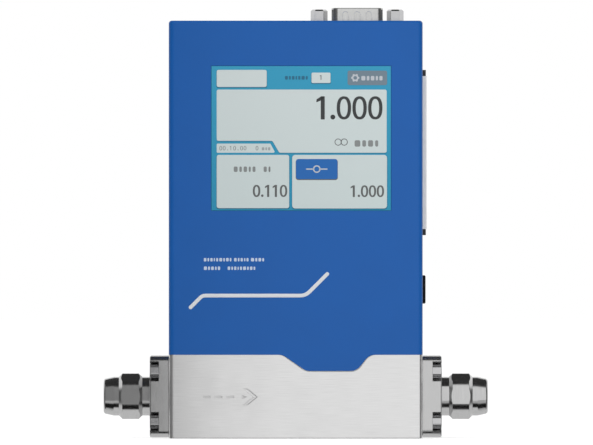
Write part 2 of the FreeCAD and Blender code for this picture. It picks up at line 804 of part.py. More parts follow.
def make_back_ferrule(label, side):
    """second ring, between the front ferrule and the nut's shoulder"""
    body = new_body(label)
    start = f"({fitting_mouth} + Sizes.front_ferrule_tail)"
    wide = "Sizes.socket_mouth_radius - Sizes.ferrule_play"
    turn(body, [
        (start, "Sizes.tube_socket_radius"),
        (start, wide),
        (f"{start} + Sizes.back_ferrule_length", f"{wide} - Sizes.back_ferrule_taper"),
        (f"{start} + Sizes.back_ferrule_length", "Sizes.tube_socket_radius"),
    ])
    return at_end(body, side, "Sizes.flange_thickness")


def make_nut(label, side):
    """hexagon nut with turned corners and a round nose"""
    body = new_body(label)
    thread = "(Sizes.fitting_thread_radius + Sizes.thread_clearance)"
    thread_end = "(Sizes.collar_length + Sizes.nut_thread_length)"
    hex_end = "(Sizes.collar_length + Sizes.nut_hex_length)"
    turn(body, [
        ("Sizes.collar_length", thread),
        ("Sizes.collar_length", "Sizes.nut_turned_radius - Sizes.nut_chamfer_drop"),
        ("Sizes.collar_length + Sizes.nut_chamfer", "Sizes.nut_turned_radius"),
        (f"{hex_end} - Sizes.nut_chamfer", "Sizes.nut_turned_radius"),
        (hex_end, "Sizes.nut_nose_radius"),
        (f"{hex_end} + Sizes.nut_nose_land", "Sizes.nut_nose_radius"),
        (nut_end, "Sizes.nut_nose_tip_radius"),
        (nut_end, "Sizes.tube_socket_radius"),
        (f"{thread_end} + Sizes.nut_shoulder_length", "Sizes.tube_socket_radius"),
        (thread_end, thread),
    ])
    tip = size("collar_length") + size("nut_hex_length") + size("nut_nose_length")
    tip_width = 2 * size("nut_nose_tip_radius")
    fillet(body, "Sizes.nut_nose_round",
           lambda edge: near(edge.BoundBox.XMin, tip) and near(edge.BoundBox.YLength, tip_width))
    around = new_sketch(body, "outside_of_hexagon", "YZ_Plane", "Sizes.collar_length")
    circle(around, "0", "0", "Sizes.nut_turned_radius + Sizes.nut_chamfer")
    hexagon(around, "0", "0", "Sizes.nut_hex")
    pocket(body, around, "Sizes.nut_hex_length", True)
    return at_end(body, side, "Sizes.flange_thickness")


# Inside the bore

def make_inlet_screen():
    """sintered disc in the end of the inlet spigot"""
    body = new_body("inlet_screen")
    disc = new_sketch(body, "disc", "YZ_Plane", "-Sizes.spigot_length")
    circle(disc, "0", "0", "Sizes.screen_disc_radius - Sizes.spigot_clearance")
    pad(body, disc, "Sizes.screen_disc_thickness")
    return at_end(body, -1)


def make_laminar_element():
    """plug with fine grooves along it, which makes the flow even"""
    body = new_body("laminar_element")
    half = "Sizes.element_length / 2"
    turn(body, [(f"-{half}", "0"), (f"-{half}", bore_fit), (half, bore_fit), (half, "0")])
    groove = new_sketch(body, "groove", "YZ_Plane", half)
    half_groove = "Sizes.element_groove_width / 2"
    floor = f"{bore_fit} - Sizes.element_groove_depth"
    rectangle(groove, f"-{half_groove}", half_groove, floor, "Sizes.bore_radius")
    cut = pocket(body, groove, "Sizes.element_length")
    pattern = body.newObject("PartDesign::PolarPattern", "Grooves")
    pattern.Originals = [cut]
    pattern.Axis = (groove, ["N_Axis"])
    pattern.Angle = 360
    pattern.setExpression("Occurrences", "Sizes.element_grooves")
    body.Tip = pattern
    doc.recompute()
    place(body, up="Sizes.flow_height")
    return body


def make_element_retainer():
    """threaded ring that holds the laminar element against its step"""
    body = new_body("element_retainer")
    inner = "-Sizes.element_length / 2"
    outer = f"({inner} - Sizes.retainer_thickness)"
    turn(body, [
        (outer, "Sizes.retainer_hole"),
        (outer, bore_fit),
        (inner, bore_fit),
        (inner, "Sizes.retainer_hole"),
    ])
    slot = new_sketch(body, "spanner_slot", "YZ_Plane", outer)
    half_slot = "Sizes.retainer_slot / 2"
    rectangle(slot, "-Sizes.bore_radius", "Sizes.bore_radius", f"-{half_slot}", half_slot)
    pocket(body, slot, "Sizes.retainer_thickness / 2", True)
    place(body, up="Sizes.flow_height")
    return body


# Bypass sensor on the plinth

def make_sensor_base():
    """block that carries the heated tube over the two ports"""
    body = new_body("sensor_base")
    foot = new_sketch(body, "foot", "XY_Plane", plinth_top)
    half_length = "Sizes.sensor_base_length / 2"
    half_depth = "Sizes.sensor_base_depth / 2"
    rectangle(foot, f"-{half_length}", half_length, f"-{half_depth}", half_depth)
    pad(body, foot, "Sizes.sensor_base_height")
    fillet(body, "Sizes.sensor_base_corner", lambda edge: runs_along(edge, "Z"))
    ports = new_sketch(body, "ports", "XY_Plane", sensor_deck)
    seats = new_sketch(body, "seal_seats", "XY_Plane", plinth_top)
    holes = new_sketch(body, "screw_holes", "XY_Plane", sensor_deck)
    for side in ("-", "+"):
        port = f"0 {side} Sizes.sensor_port_spacing / 2"
        circle(ports, port, "0", "Sizes.sensor_tube_radius + Sizes.thread_clearance")
        circle(seats, port, "0", "Sizes.sensor_seal_radius + Sizes.thread_clearance")
        circle(holes, f"0 {side} Sizes.sensor_screw_spacing / 2", "0", board_tap)
    pocket(body, ports, "Sizes.sensor_base_height")
    pocket(body, seats, "Sizes.sensor_seal_thickness", True)
    pocket(body, holes, "Sizes.sensor_base_height")
    return body


def make_sensor_seals():
    """two flat rings under the sensor base"""
    body = new_body("sensor_seals")
    rings = new_sketch(body, "rings", "XY_Plane", plinth_top)
    for side in ("-", "+"):
        port = f"0 {side} Sizes.sensor_port_spacing / 2"
        circle(rings, port, "0", "Sizes.sensor_seal_radius")
        circle(rings, port, "0", "Sizes.sensor_port_radius")
    pad(body, rings, "Sizes.sensor_seal_thickness")
    return body


def make_sensor_tube():
    """thin tube from one port up, across and down to the other"""
    half = size("sensor_port_spacing") / 2
    bend = size("sensor_tube_bend")
    low = size("block_height") + size("plinth_height") + size("sensor_seal_thickness")
    deck = size("block_height") + size("plinth_height") + size("sensor_base_height")
    high = deck + size("sensor_tube_rise")
    turn_point = bend * (1 - math.cos(math.pi / 4))

    def point(across, up):
        return FreeCAD.Vector(across, 0, up)

    path = Part.Wire([
        Part.LineSegment(point(-half, low), point(-half, high - bend)).toShape(),
        Part.Arc(point(-half, high - bend), point(-half + turn_point, high - turn_point),
                 point(-half + bend, high)).toShape(),
        Part.LineSegment(point(-half + bend, high), point(half - bend, high)).toShape(),
        Part.Arc(point(half - bend, high), point(half - turn_point, high - turn_point),
                 point(half, high - bend)).toShape(),
        Part.LineSegment(point(half, high - bend), point(half, low)).toShape(),
    ])
    section = Part.Wire([Part.Circle(point(-half, low), FreeCAD.Vector(0, 0, 1),
                                     size("sensor_tube_radius")).toShape()])
    tube = doc.addObject("Part::Feature", "sensor_tube")
    tube.Label = "sensor_tube"
    tube.Shape = path.makePipeShell([section], True, False)
    return tube


def make_sensor_windings():
    """two heater windings round the middle of the tube"""
    body = new_body("sensor_windings")
    sketch = new_sketch(body, "sleeves", "XZ_Plane")
    for side in ("-1", "1"):
        inner = f"{side} * Sizes.winding_gap / 2"
        outer = f"{side} * (Sizes.winding_gap / 2 + Sizes.winding_length)"
        outline(sketch, [
            (inner, "Sizes.sensor_tube_radius"),
            (inner, "Sizes.winding_radius"),
            (outer, "Sizes.winding_radius"),
            (outer, "Sizes.sensor_tube_radius"),
        ])
    feature = body.newObject("PartDesign::Revolution", "Turned")
    feature.Profile = sketch
    feature.ReferenceAxis = (sketch, ["H_Axis"])
    feature.Angle = 360
    doc.recompute()
    place(body, up=f"{sensor_deck} + Sizes.sensor_tube_rise")
    return body


def make_sensor_cover():
    """thin can over the tube"""
    body = new_body("sensor_cover")
    half_length = "Sizes.sensor_cover_length / 2"
    half_depth = "Sizes.sensor_cover_depth / 2"
    outside = new_sketch(body, "outside", "XY_Plane", sensor_deck)
    rectangle(outside, f"-{half_length}", half_length, f"-{half_depth}", half_depth)
    pad(body, outside, "Sizes.sensor_cover_height")
    fillet(body, "Sizes.sensor_cover_wall", lambda edge: runs_along(edge, "Z"))
    inside = new_sketch(body, "inside", "XY_Plane", sensor_deck)
    wall = "Sizes.sensor_cover_wall"
    rectangle(inside, f"-{half_length} + {wall}", f"{half_length} - {wall}",
              f"-{half_depth} + {wall}", f"{half_depth} - {wall}")
    pocket(body, inside, f"Sizes.sensor_cover_height - {wall}", True)
    return body


def make_sensor_flex():
    """flat lead from the sensor up to the main board"""
    body = new_body("sensor_flex")
    strip = new_sketch(body, "strip", "XZ_Plane", main_board_front)
    half = "Sizes.flex_width / 2"
    rectangle(strip, f"-{half}", half, sensor_roof, f"{main_board_bottom} + Sizes.flex_lap")
    pad(body, strip, "Sizes.flex_thickness")
    return body


# Small pan head screws that stand on a plane

def pan_screws(label, plane, seat, places, length, head_up):
    """like small screws with their heads on a plane and their shanks through it"""
    body = new_body(label)
    heads = new_sketch(body, "heads", plane, seat)
    shanks = new_sketch(body, "shanks", plane, seat)
    away = "1" if head_up else "-1"
    sign = "-1 * " if plane == "XZ_Plane" else ""
    top = f"{seat} + {sign}{away} * Sizes.board_screw_head_height"
    drives = new_sketch(body, "drives", plane, top)
    for across, up in places:
        circle(heads, across, up, "Sizes.board_screw_head")
        circle(shanks, across, up, "Sizes.board_screw_radius")
        hexagon(drives, across, up, "Sizes.small_screw_hex")
    pad(body, heads, "Sizes.board_screw_head_height", not head_up)
    pad(body, shanks, length, head_up)
    pocket(body, drives, "Sizes.board_screw_head_height / 2", not head_up)
    return body


def make_sensor_screws():
    """two screws that hold the sensor base down"""
    places = [(f"0 {side} Sizes.sensor_screw_spacing / 2", "0") for side in ("-", "+")]
    length = "Sizes.sensor_base_height + Sizes.board_screw_length"
    return pan_screws("sensor_screws", "XY_Plane", sensor_deck, places, length, True)


# Cover and rear panel

def make_front_cover():
    """folded sheet: front with window and tongue, top and both sides"""
    body = new_body("front_cover")
    side_out = "Sizes.block_width / 2"
    side_in = f"({side_out} - Sizes.cover_sheet)"
    foot = new_sketch(body, "foot", "XY_Plane", "Sizes.block_height")
    rectangle(foot, f"-{side_out}", side_out, front, back)
    pad(body, foot, "Sizes.cover_height")
    front_face = -size("block_depth") / 2
    top_face = size("block_height") + size("cover_height")
    fillet(body, "Sizes.cover_bend",
           lambda edge: runs_along(edge, "Z") and near(edge.BoundBox.YMin, front_face))
    fillet(body, "Sizes.cover_top_bend",
           lambda edge: near(edge.BoundBox.ZMin, top_face) and edge.BoundBox.YMin < -front_face - 0.01)

    inside = new_sketch(body, "inside", "XY_Plane", "Sizes.block_height")
    rectangle(inside, f"-{side_in}", side_in, cover_inside, f"{back} + Sizes.cover_sheet")
    pocket(body, inside, "Sizes.cover_height - Sizes.cover_sheet", True)
    tongue = new_sketch(body, "tongue", "XZ_Plane", cover_inside)
    outline(tongue, tongue_corners("0"))
    pad(body, tongue, "Sizes.cover_sheet")
    round_tongue(body, 0, "Sizes.tongue_corner")

    window = new_sketch(body, "window", "XZ_Plane", front)
    half_width = "Sizes.screen_width / 2"
    half_height = "Sizes.screen_height / 2"
    rectangle(window, f"Sizes.screen_shift - {half_width}", f"Sizes.screen_shift + {half_width}",
              f"{screen_level} - {half_height}", f"{screen_level} + {half_height}")
    pocket(body, window, "Sizes.cover_sheet")

    opening = new_sketch(body, "connector_opening", "XY_Plane", cover_top)
    connector_outline(opening, "Sizes.connector_opening", "Sizes.connector_shift")
    pocket(body, opening, "Sizes.cover_sheet")
    jack_holes = new_sketch(body, "jack_holes", "XY_Plane", cover_top)
    for side in ("-", "+"):
        circle(jack_holes, f"Sizes.connector_shift {side} Sizes.jack_spacing / 2", "0",
               "Sizes.jack_stud_radius + Sizes.connector_opening")
    pocket(body, jack_holes, "Sizes.cover_sheet")

    for turned in (False, True):
        at = f"-{side_out}" if turned else side_out
        centres = [("0", plinth_middle), (cover_screw_back, cover_screw_level)]
        countersunk_hole(body, "screw_holes", "YZ_Plane", at, centres, "Sizes.cover_sheet", turned)
    plug_hole = new_sketch(body, "plug_hole", "YZ_Plane", side_out)
    inset = "(Sizes.plug_stem_inset - Sizes.plug_hole_clearance)"
    rectangle(plug_hole, f"-Sizes.plug_width / 2 + {inset}", f"Sizes.plug_width / 2 - {inset}",
              f"Sizes.plug_middle - Sizes.plug_height / 2 + {inset}",
              f"Sizes.plug_middle + Sizes.plug_height / 2 - {inset}")
    pocket(body, plug_hole, "Sizes.cover_sheet")
    return body


def make_rear_panel():
    """shallow tray that closes the back, its flanges inside the cover"""
    body = new_body("rear_panel")
    top = f"({cover_ceiling} - Sizes.cover_clearance)"
    plate = new_sketch(body, "plate", "XZ_Plane", back)
    rectangle(plate, f"-1 * {plinth_side}", plinth_side, "Sizes.block_height", top)
    pad(body, plate, "Sizes.rear_sheet")
    side_in = f"({plinth_side} - Sizes.rear_sheet)"
    low = f"({plinth_top} + Sizes.cover_clearance)"
    flange = new_sketch(body, "flange", "XZ_Plane", back)
    outline(flange, [
        (f"-1 * {plinth_side}", low),
        (f"-1 * {plinth_side}", top),
        (plinth_side, top),
        (plinth_side, low),
        (side_in, low),
        (side_in, f"{top} - Sizes.rear_sheet"),
        (f"-1 * {side_in}", f"{top} - Sizes.rear_sheet"),
        (f"-1 * {side_in}", low),
    ])
    pad(body, flange, "Sizes.rear_flange")
    rear_centres = [(f"0 {side} Sizes.rear_screw_spacing / 2", plinth_middle) for side in ("-", "+")]
    countersunk_hole(body, "rear_holes", "XZ_Plane", back, rear_centres, "Sizes.rear_sheet", True)
    taps = new_sketch(body, "flange_taps", "YZ_Plane", plinth_side)
    circle(taps, cover_screw_back, cover_screw_level, small_tap)
    pocket(body, taps, f"2 * {plinth_side}")
    return body


def make_cover_screws():
    """four flat head screws in the cover's sides: two into the plinth, two into the rear panel"""
    body = new_body("cover_screws")
    centres = [("0", plinth_middle), (cover_screw_back, cover_screw_level)]
    countersunk_screws(body, "YZ_Plane", block_end, centres, True)
    countersunk_screws(body, "YZ_Plane", f"-{block_end}", centres, False)
    return body


def make_rear_screws():
    """two flat head screws through the rear panel into the plinth"""
    body = new_body("rear_screws")
    centres = [(f"0 {side} Sizes.rear_screw_spacing / 2", plinth_middle) for side in ("-", "+")]
    countersunk_screws(body, "XZ_Plane", back, centres, False)
    return body


# Screen, from the glass back to its board

def screen_frame(body, name, at, margin):
    """a rectangle round the screen's middle, wider than the screen by a margin"""
    sketch = new_sketch(body, name, "XZ_Plane", at)
    half_width = f"(Sizes.screen_width / 2 + {margin})"
    half_height = f"(Sizes.screen_height / 2 + {margin})"
    rectangle(sketch, f"Sizes.screen_shift - {half_width}", f"Sizes.screen_shift + {half_width}",
              f"{screen_level} - {half_height}", f"{screen_level} + {half_height}")
    return sketch


def make_touch_glass():
    """front glass, in line with the cover"""
    body = new_body("touch_glass")
    glass = screen_frame(body, "glass", cover_inside, "-1 * Sizes.glass_clearance")
    pad(body, glass, "Sizes.cover_sheet")
    return body


def make_display_gasket():
    """foam frame between the cover with its glass and the panel"""
    body = new_body("display_gasket")
    frame = screen_frame(body, "outside", lcd_front, "Sizes.gasket_margin")
    pad(body, frame, "Sizes.gasket_thickness")
    hole = screen_frame(body, "inside", cover_inside, "-1 * Sizes.gasket_lap")
    pocket(body, hole, "Sizes.gasket_thickness")
    return body


def make_lcd_panel():
    """liquid crystal panel with its light"""
    body = new_body("lcd_panel")
    panel = screen_frame(body, "panel", display_board_front, "Sizes.lcd_margin")
    pad(body, panel, "Sizes.lcd_thickness")
    return body


display_hole_places = four(
    f"({display_board_half_x} - Sizes.display_hole_inset)",
    f"({display_board_half_z} - Sizes.display_hole_inset)",
    "Sizes.screen_shift", screen_level)


def make_display_board():
    """circuit board behind the panel"""
    body = new_body("display_board")
    board = new_sketch(body, "board", "XZ_Plane", display_board_back)
    rectangle(board, f"Sizes.screen_shift - {display_board_half_x}",
              f"Sizes.screen_shift + {display_board_half_x}",
              f"{screen_level} - {display_board_half_z}",
              f"{screen_level} + {display_board_half_z}")
    for across, up in display_hole_places:
        circle(board, across, up, board_tap)
    pad(body, board, "Sizes.board_thickness")
    return body


def make_display_standoffs():
    """four threaded pillars pressed into the cover"""
    body = new_body("display_standoffs")
    pillars = new_sketch(body, "pillars", "XZ_Plane", display_board_front)
    for across, up in display_hole_places:
        circle(pillars, across, up, "Sizes.standoff_radius")
        circle(pillars, across, up, board_tap)
    pad(body, pillars, "Sizes.lcd_thickness + Sizes.gasket_thickness")
    return body


def make_display_screws():
    """four screws from the back of the display board into the pillars"""
    return pan_screws("display_screws", "XZ_Plane", display_board_back, display_hole_places,
                      "Sizes.board_thickness + Sizes.lcd_thickness", False)


def make_display_header():
    """socket strip that joins the two boards"""
    body = new_body("display_header")
    strip = new_sketch(body, "strip", "XZ_Plane", main_board_front)
    rectangle(strip, "-Sizes.header_width / 2", "Sizes.header_width / 2",
              "Sizes.header_rise", "Sizes.header_rise + Sizes.header_height")
    pad(body, strip, f"{main_board_front} - {display_board_back}")
    return body


# Upright board on its bracket

spacer_places = four("Sizes.spacer_spacing_x / 2", "Sizes.spacer_spacing_z / 2",
                     "0", f"({lower_spacers} + Sizes.spacer_spacing_z / 2)")


def make_chassis_bracket():
    """bent sheet that stands on the plinth and carries the main board"""
    body = new_body("chassis_bracket")
    bend = new_sketch(body, "bend", "YZ_Plane", "-Sizes.bracket_width / 2")
    foot_end = f"{bracket_front} + Sizes.bracket_foot"
    foot_top = f"{plinth_top} + Sizes.bracket_sheet"
    upright_back = f"{bracket_front} + Sizes.bracket_sheet"
    outline(bend, [
        (bracket_front, plinth_top),
        (foot_end, plinth_top),
        (foot_end, foot_top),
        (upright_back, foot_top),
        (upright_back, f"{plinth_top} + Sizes.bracket_height"),
        (bracket_front, f"{plinth_top} + Sizes.bracket_height"),
    ])
    pad(body, bend, "Sizes.bracket_width")
    foot_holes = new_sketch(body, "foot_holes", "XY_Plane", foot_top)
    for side in ("-", "+"):
        circle(foot_holes, f"0 {side} Sizes.bracket_screw_spacing / 2", bracket_screw_back, board_tap)
    pocket(body, foot_holes, "Sizes.bracket_sheet")
    holes = new_sketch(body, "board_holes", "XZ_Plane", bracket_front)
    for across, up in spacer_places:
        circle(holes, across, up, board_tap)
    pocket(body, holes, "Sizes.bracket_sheet")
    return body


def make_bracket_screws():
    """two screws through the bracket's foot"""
    places = [(f"0 {side} Sizes.bracket_screw_spacing / 2", bracket_screw_back) for side in ("-", "+")]
    return pan_screws("bracket_screws", "XY_Plane", f"({plinth_top} + Sizes.bracket_sheet)", places,
                      "Sizes.bracket_sheet + Sizes.board_screw_length", True)


def make_main_board():
    """circuit board that reads the sensor and drives the screen"""
    body = new_body("main_board")
    board = new_sketch(body, "board", "XZ_Plane", main_board_back)
    rectangle(board, "-Sizes.main_board_width / 2", "Sizes.main_board_width / 2",
              main_board_bottom, connector_board_bottom)
    for across, up in spacer_places:
        circle(board, across, up, board_tap)
    pad(body, board, "Sizes.board_thickness")
    return body


def make_board_spacers():
    """four round spacers between the board and its bracket"""
    body = new_body("board_spacers")
    spacers = new_sketch(body, "spacers", "XZ_Plane", bracket_front)
    for across, up in spacer_places:
        circle(spacers, across, up, "Sizes.spacer_radius")
        circle(spacers, across, up, board_tap)
    pad(body, spacers, "Sizes.spacer_length")
    return body


def make_board_screws():
    """four screws through the board and the spacers into the bracket"""
    return pan_screws("board_screws", "XZ_Plane", main_board_front, spacer_places,
                      "Sizes.board_thickness + Sizes.spacer_length + Sizes.bracket_sheet", True)


def make_processor_chip():
    """square chip on the main board"""
    body = new_body("processor_chip")
    chip = new_sketch(body, "chip", "XZ_Plane", main_board_front)
    half = "Sizes.chip_size / 2"
    rectangle(chip, f"-{half}", half, f"Sizes.chip_rise - {half}", f"Sizes.chip_rise + {half}")
    pad(body, chip, "Sizes.chip_thickness")
    return body


def make_board_capacitors():
    """three can capacitors on the main board"""
    body = new_body("board_capacitors")
    cans = new_sketch(body, "cans", "XZ_Plane", main_board_front)
    for i in (-1, 0, 1):
        circle(cans, f"{i} * Sizes.capacitor_spacing", "Sizes.capacitor_rise", "Sizes.capacitor_radius")
    pad(body, cans, "Sizes.capacitor_height")
    return body


# Nine-pin connector, wide side to the front

def connector_outline(sketch, grow, middle="0"):
    """the connector's slanted outline, made larger or smaller all round"""
    wide = "(Sizes.connector_width / 2 - Sizes.connector_corner)"
    deep = "(Sizes.connector_depth / 2 - Sizes.connector_corner)"
    narrow = f"({wide} - 2 * {deep} * tan(Sizes.connector_slant * 1 deg))"
    rounded_outline(sketch, [
        (f"{middle} - {wide}", f"-1 * {deep}"),
        (f"{middle} + {wide}", f"-1 * {deep}"),
        (f"{middle} + {narrow}", deep),
        (f"{middle} - {narrow}", deep),
    ], f"Sizes.connector_corner + {grow}")


def pin_places():
    """five pins in the front row and four behind them"""
    places = []
    for i in range(5):
        places.append((f"{i - 2} * Sizes.pin_pitch", "-Sizes.row_pitch / 2"))
    for i in range(4):
        places.append((f"{i - 1.5} * Sizes.pin_pitch", "Sizes.row_pitch / 2"))
    return places


def at_connector(body):
    """put a piece at the connector's place"""
    place(body, "Sizes.connector_shift")
    return body


def make_connector_shell():
    """pressed metal shell with its flange, dimpled along both long sides"""
    body = new_body("connector_shell")
    shell = new_sketch(body, "shell", "XY_Plane", connector_flange_bottom)
    connector_outline(shell, "0")
    pad(body, shell, "Sizes.connector_flange_sheet + Sizes.connector_rise")
    rim = size("block_height") + size("cover_height") - size("cover_sheet") + size("connector_rise")
    fillet(body, "Sizes.connector_rim", lambda edge: near(edge.BoundBox.ZMin, rim))
    flange = new_sketch(body, "flange", "XY_Plane", connector_flange_bottom)
    half_width = "Sizes.connector_flange_width / 2"
    half_depth = "Sizes.connector_flange_depth / 2"
    rectangle(flange, f"-{half_width}", half_width, f"-{half_depth}", half_depth)
    pad(body, flange, "Sizes.connector_flange_sheet")
    inside = new_sketch(body, "inside", "XY_Plane", connector_top)
    connector_outline(inside, "(-1 * Sizes.connector_wall)")
    pocket(body, inside, "Sizes.connector_rise + Sizes.connector_flange_sheet")
    arch = f"({connector_top} - Sizes.dimple_drop - Sizes.dimple_radius)"
    for side in (-1, 1):
        long_side = f"{side} * Sizes.connector_depth / 2"
        dimples = new_sketch(body, "dimples", "XZ_Plane", long_side)
        arches = new_sketch(body, "dimple_arches", "XZ_Plane", long_side)
        for i in (-1, 0, 1):
            middle = f"{i} * Sizes.dimple_spacing"
            rectangle(dimples, f"{middle} - Sizes.dimple_radius", f"{middle} + Sizes.dimple_radius",
                      cover_ceiling, arch)
            circle(arches, middle, arch, "Sizes.dimple_radius")
        pocket(body, dimples, "Sizes.dimple_bite", side > 0)
        pocket(body, arches, "Sizes.dimple_bite", side > 0)
    holes = new_sketch(body, "jack_holes", "XY_Plane", cover_ceiling)
    for side in ("-", "+"):
        circle(holes, f"0 {side} Sizes.jack_spacing / 2", "0",
               "Sizes.jack_stud_radius + Sizes.thread_clearance")
    pocket(body, holes, "Sizes.connector_flange_sheet")
    return at_connector(body)


def make_connector_insulator():
    """black plastic block that holds the pins"""
    body = new_body("connector_insulator")
    face = new_sketch(body, "face", "XY_Plane", connector_flange_bottom)
    connector_outline(face, "(-1 * Sizes.connector_wall - Sizes.thread_clearance)")
    pad(body, face, "Sizes.connector_flange_sheet + Sizes.insulator_face")
    back_part = new_sketch(body, "back_part", "XY_Plane", insulator_bottom)
    half_width = "Sizes.insulator_width / 2"
    half_depth = "Sizes.insulator_depth / 2"
    rectangle(back_part, f"-{half_width}", half_width, f"-{half_depth}", half_depth)
    pad(body, back_part, "Sizes.insulator_height")
    holes = new_sketch(body, "pin_holes", "XY_Plane", insulator_top)
    for across, up in pin_places():
        circle(holes, across, up, "Sizes.pin_radius")
    pocket(body, holes, f"{insulator_top} - {insulator_bottom}")
    return at_connector(body)


def make_connector_pins():
    """nine round pins, soldered into the small board"""
    body = new_body("connector_pins")
    pins = new_sketch(body, "pins", "XY_Plane", connector_board_bottom)
    for across, up in pin_places():
        circle(pins, across, up, "Sizes.pin_radius")
    pad(body, pins, f"{connector_top} - Sizes.pin_setback - {connector_board_bottom}")
    return at_connector(body)


def make_connector_board():
    """small board under the connector, on the main board's top edge"""
    body = new_body("connector_board")
    board = new_sketch(body, "board", "XY_Plane", connector_board_bottom)
    half_width = "Sizes.connector_board_width / 2"
    half_depth = "Sizes.connector_board_depth / 2"
    rectangle(board, f"-{half_width}", half_width, f"-{half_depth}", half_depth)
    for across, up in pin_places():
        circle(board, across, up, "Sizes.pin_radius")
    pad(body, board, "Sizes.board_thickness")
    return at_connector(body)


jack_places = [(f"0 {side} Sizes.jack_spacing / 2", "0") for side in ("-", "+")]


def make_jackscrews():
    """two hexagon posts with threaded holes beside the connector"""
    body = new_body("jackscrews")
    posts = new_sketch(body, "posts", "XY_Plane", cover_top)
    studs = new_sketch(body, "studs", "XY_Plane", cover_top)
    threads = new_sketch(body, "threads", "XY_Plane", f"{cover_top} + Sizes.jack_rise")
    for across, up in jack_places:
        hexagon(posts, across, up, "Sizes.jack_hex", 0)
        circle(studs, across, up, "Sizes.jack_stud_radius")
        circle(threads, across, up, "Sizes.jack_thread_radius")
    pad(body, posts, "Sizes.jack_rise")
    face = size("block_height") + size("cover_height") + size("jack_rise")
    chamfer(body, "Sizes.jack_chamfer", lambda edge: near(edge.BoundBox.ZMin, face))
    pad(body, studs, "Sizes.jack_stud_length", True)
    pocket(body, threads, "Sizes.jack_thread_depth")
    return at_connector(body)


def make_jackscrew_nuts():
    """two nuts that hold the connector under the cover"""
    body = new_body("jackscrew_nuts")
    nuts = new_sketch(body, "nuts", "XY_Plane", connector_flange_bottom)
    for across, up in jack_places:
        hexagon(nuts, across, up, "Sizes.jack_nut_hex", 0)
        circle(nuts, across, up, "Sizes.jack_stud_radius + Sizes.thread_clearance")
    pad(body, nuts, "Sizes.jack_nut_thickness", True)
    return at_connector(body)


# Plate and plug on the right side

def side_outline(body, name, low, high):
    """a rectangle on the cover's right side, from one height to another"""
    sketch = new_sketch(body, name, "YZ_Plane", block_end)
    rectangle(sketch, "-Sizes.plate_width / 2", "Sizes.plate_width / 2", low, high)
    return sketch


def make_side_plate():
    """thin blank plate on the right side"""
    body = new_body("side_plate")
    top = "(Sizes.plate_bottom + Sizes.plate_length)"
    plate = side_outline(body, "plate", "Sizes.plate_bottom + Sizes.clip_length",
                         f"{top} - Sizes.clip_length")
    pad(body, plate, "Sizes.plate_thickness")
    face = size("block_width") / 2 + size("plate_thickness")
    fillet(body, "Sizes.plate_edge", lambda edge: runs_along(edge, "Z") and near(edge.BoundBox.XMin, face))
    return body


def make_side_plate_clips():
    """black ends that hold the plate"""
    body = new_body("side_plate_clips")
    for low in ("Sizes.plate_bottom", "(Sizes.plate_bottom + Sizes.plate_length - Sizes.clip_length)"):
        clip = side_outline(body, "clip", low, f"{low} + Sizes.clip_length")
        pad(body, clip, "Sizes.clip_thickness")
    return body


def make_service_plug():
    """rubber plug in the service port"""
    body = new_body("service_plug")
    head = new_sketch(body, "head", "YZ_Plane")
    half_width = "Sizes.plug_width / 2"
    half_height = "Sizes.plug_height / 2"
    rectangle(head, f"-{half_width}", half_width, f"-{half_height}", half_height)
    pad(body, head, "Sizes.plug_head")
    fillet(body, "Sizes.plug_corner", lambda edge: runs_along(edge, "X"))
    face = size("plug_head")
    fillet(body, "Sizes.plug_edge", lambda edge: near(edge.BoundBox.XMin, face))
    stem = new_sketch(body, "stem", "YZ_Plane")
    inset = "Sizes.plug_stem_inset"
    rectangle(stem, f"-{half_width} + {inset}", f"{half_width} - {inset}",
              f"-{half_height} + {inset}", f"{half_height} - {inset}")
    pad(body, stem, "Sizes.plug_stem_length", True)
    place(body, block_end, "0", "Sizes.plug_middle")
    return body


def make_all():
    """every sub-part of the meter"""
    pieces = [make_flow_body(), make_inlet_screen(), make_laminar_element(), make_element_retainer()]
    for end, side in (("inlet", -1), ("outlet", 1)):
        pieces.append(make_adapter(f"{end}_adapter", side))
        pieces.append(make_adapter_seal(f"{end}_adapter_seal", side))
        pieces.append(make_adapter_screws(f"{end}_adapter_screws", side))
        pieces.append(make_fitting(f"{end}_fitting", side))
        pieces.append(make_front_ferrule(f"{end}_front_ferrule", side))
        pieces.append(make_back_ferrule(f"{end}_back_ferrule", side))
        pieces.append(make_nut(f"{end}_nut", side))
    makers = [
        make_sensor_base, make_sensor_seals, make_sensor_tube, make_sensor_windings,
        make_sensor_cover, make_sensor_flex, make_sensor_screws,
        make_front_cover, make_rear_panel, make_cover_screws, make_rear_screws,
        make_touch_glass, make_display_gasket, make_lcd_panel, make_display_board,
        make_display_standoffs, make_display_screws, make_display_header,
        make_chassis_bracket, make_bracket_screws, make_main_board, make_board_spacers,
        make_board_screws, make_processor_chip, make_board_capacitors,
        make_connector_shell, make_connector_insulator, make_connector_pins,
        make_connector_board, make_jackscrews, make_jackscrew_nuts,
        make_side_plate, make_side_plate_clips, make_service_plug,
    ]
    for maker in makers:
        pieces.append(maker())
    doc.recompute()
    return pieces


def write_all(pieces):
    """check every feature and solid, then write one file for each sub-part"""
    failed = [item.Label for item in doc.Objects if {"Invalid", "Error"} & set(item.State)]
    if failed:
        raise ValueError(f"failed features: {failed}")
    for piece in pieces:
        if piece.Shape.isNull() or not piece.Shape.isValid():
            raise ValueError(f"bad shape: {piece.Label}")
    os.makedirs("parts", exist_ok=True)
    for piece in pieces:
        piece.Shape.exportStep(f"parts/{piece.Label}.step")
        print(f"{piece.Label}: {len(piece.Shape.Solids)} solid, {piece.Shape.Volume:.1f} mm3")


write_all(make_all())
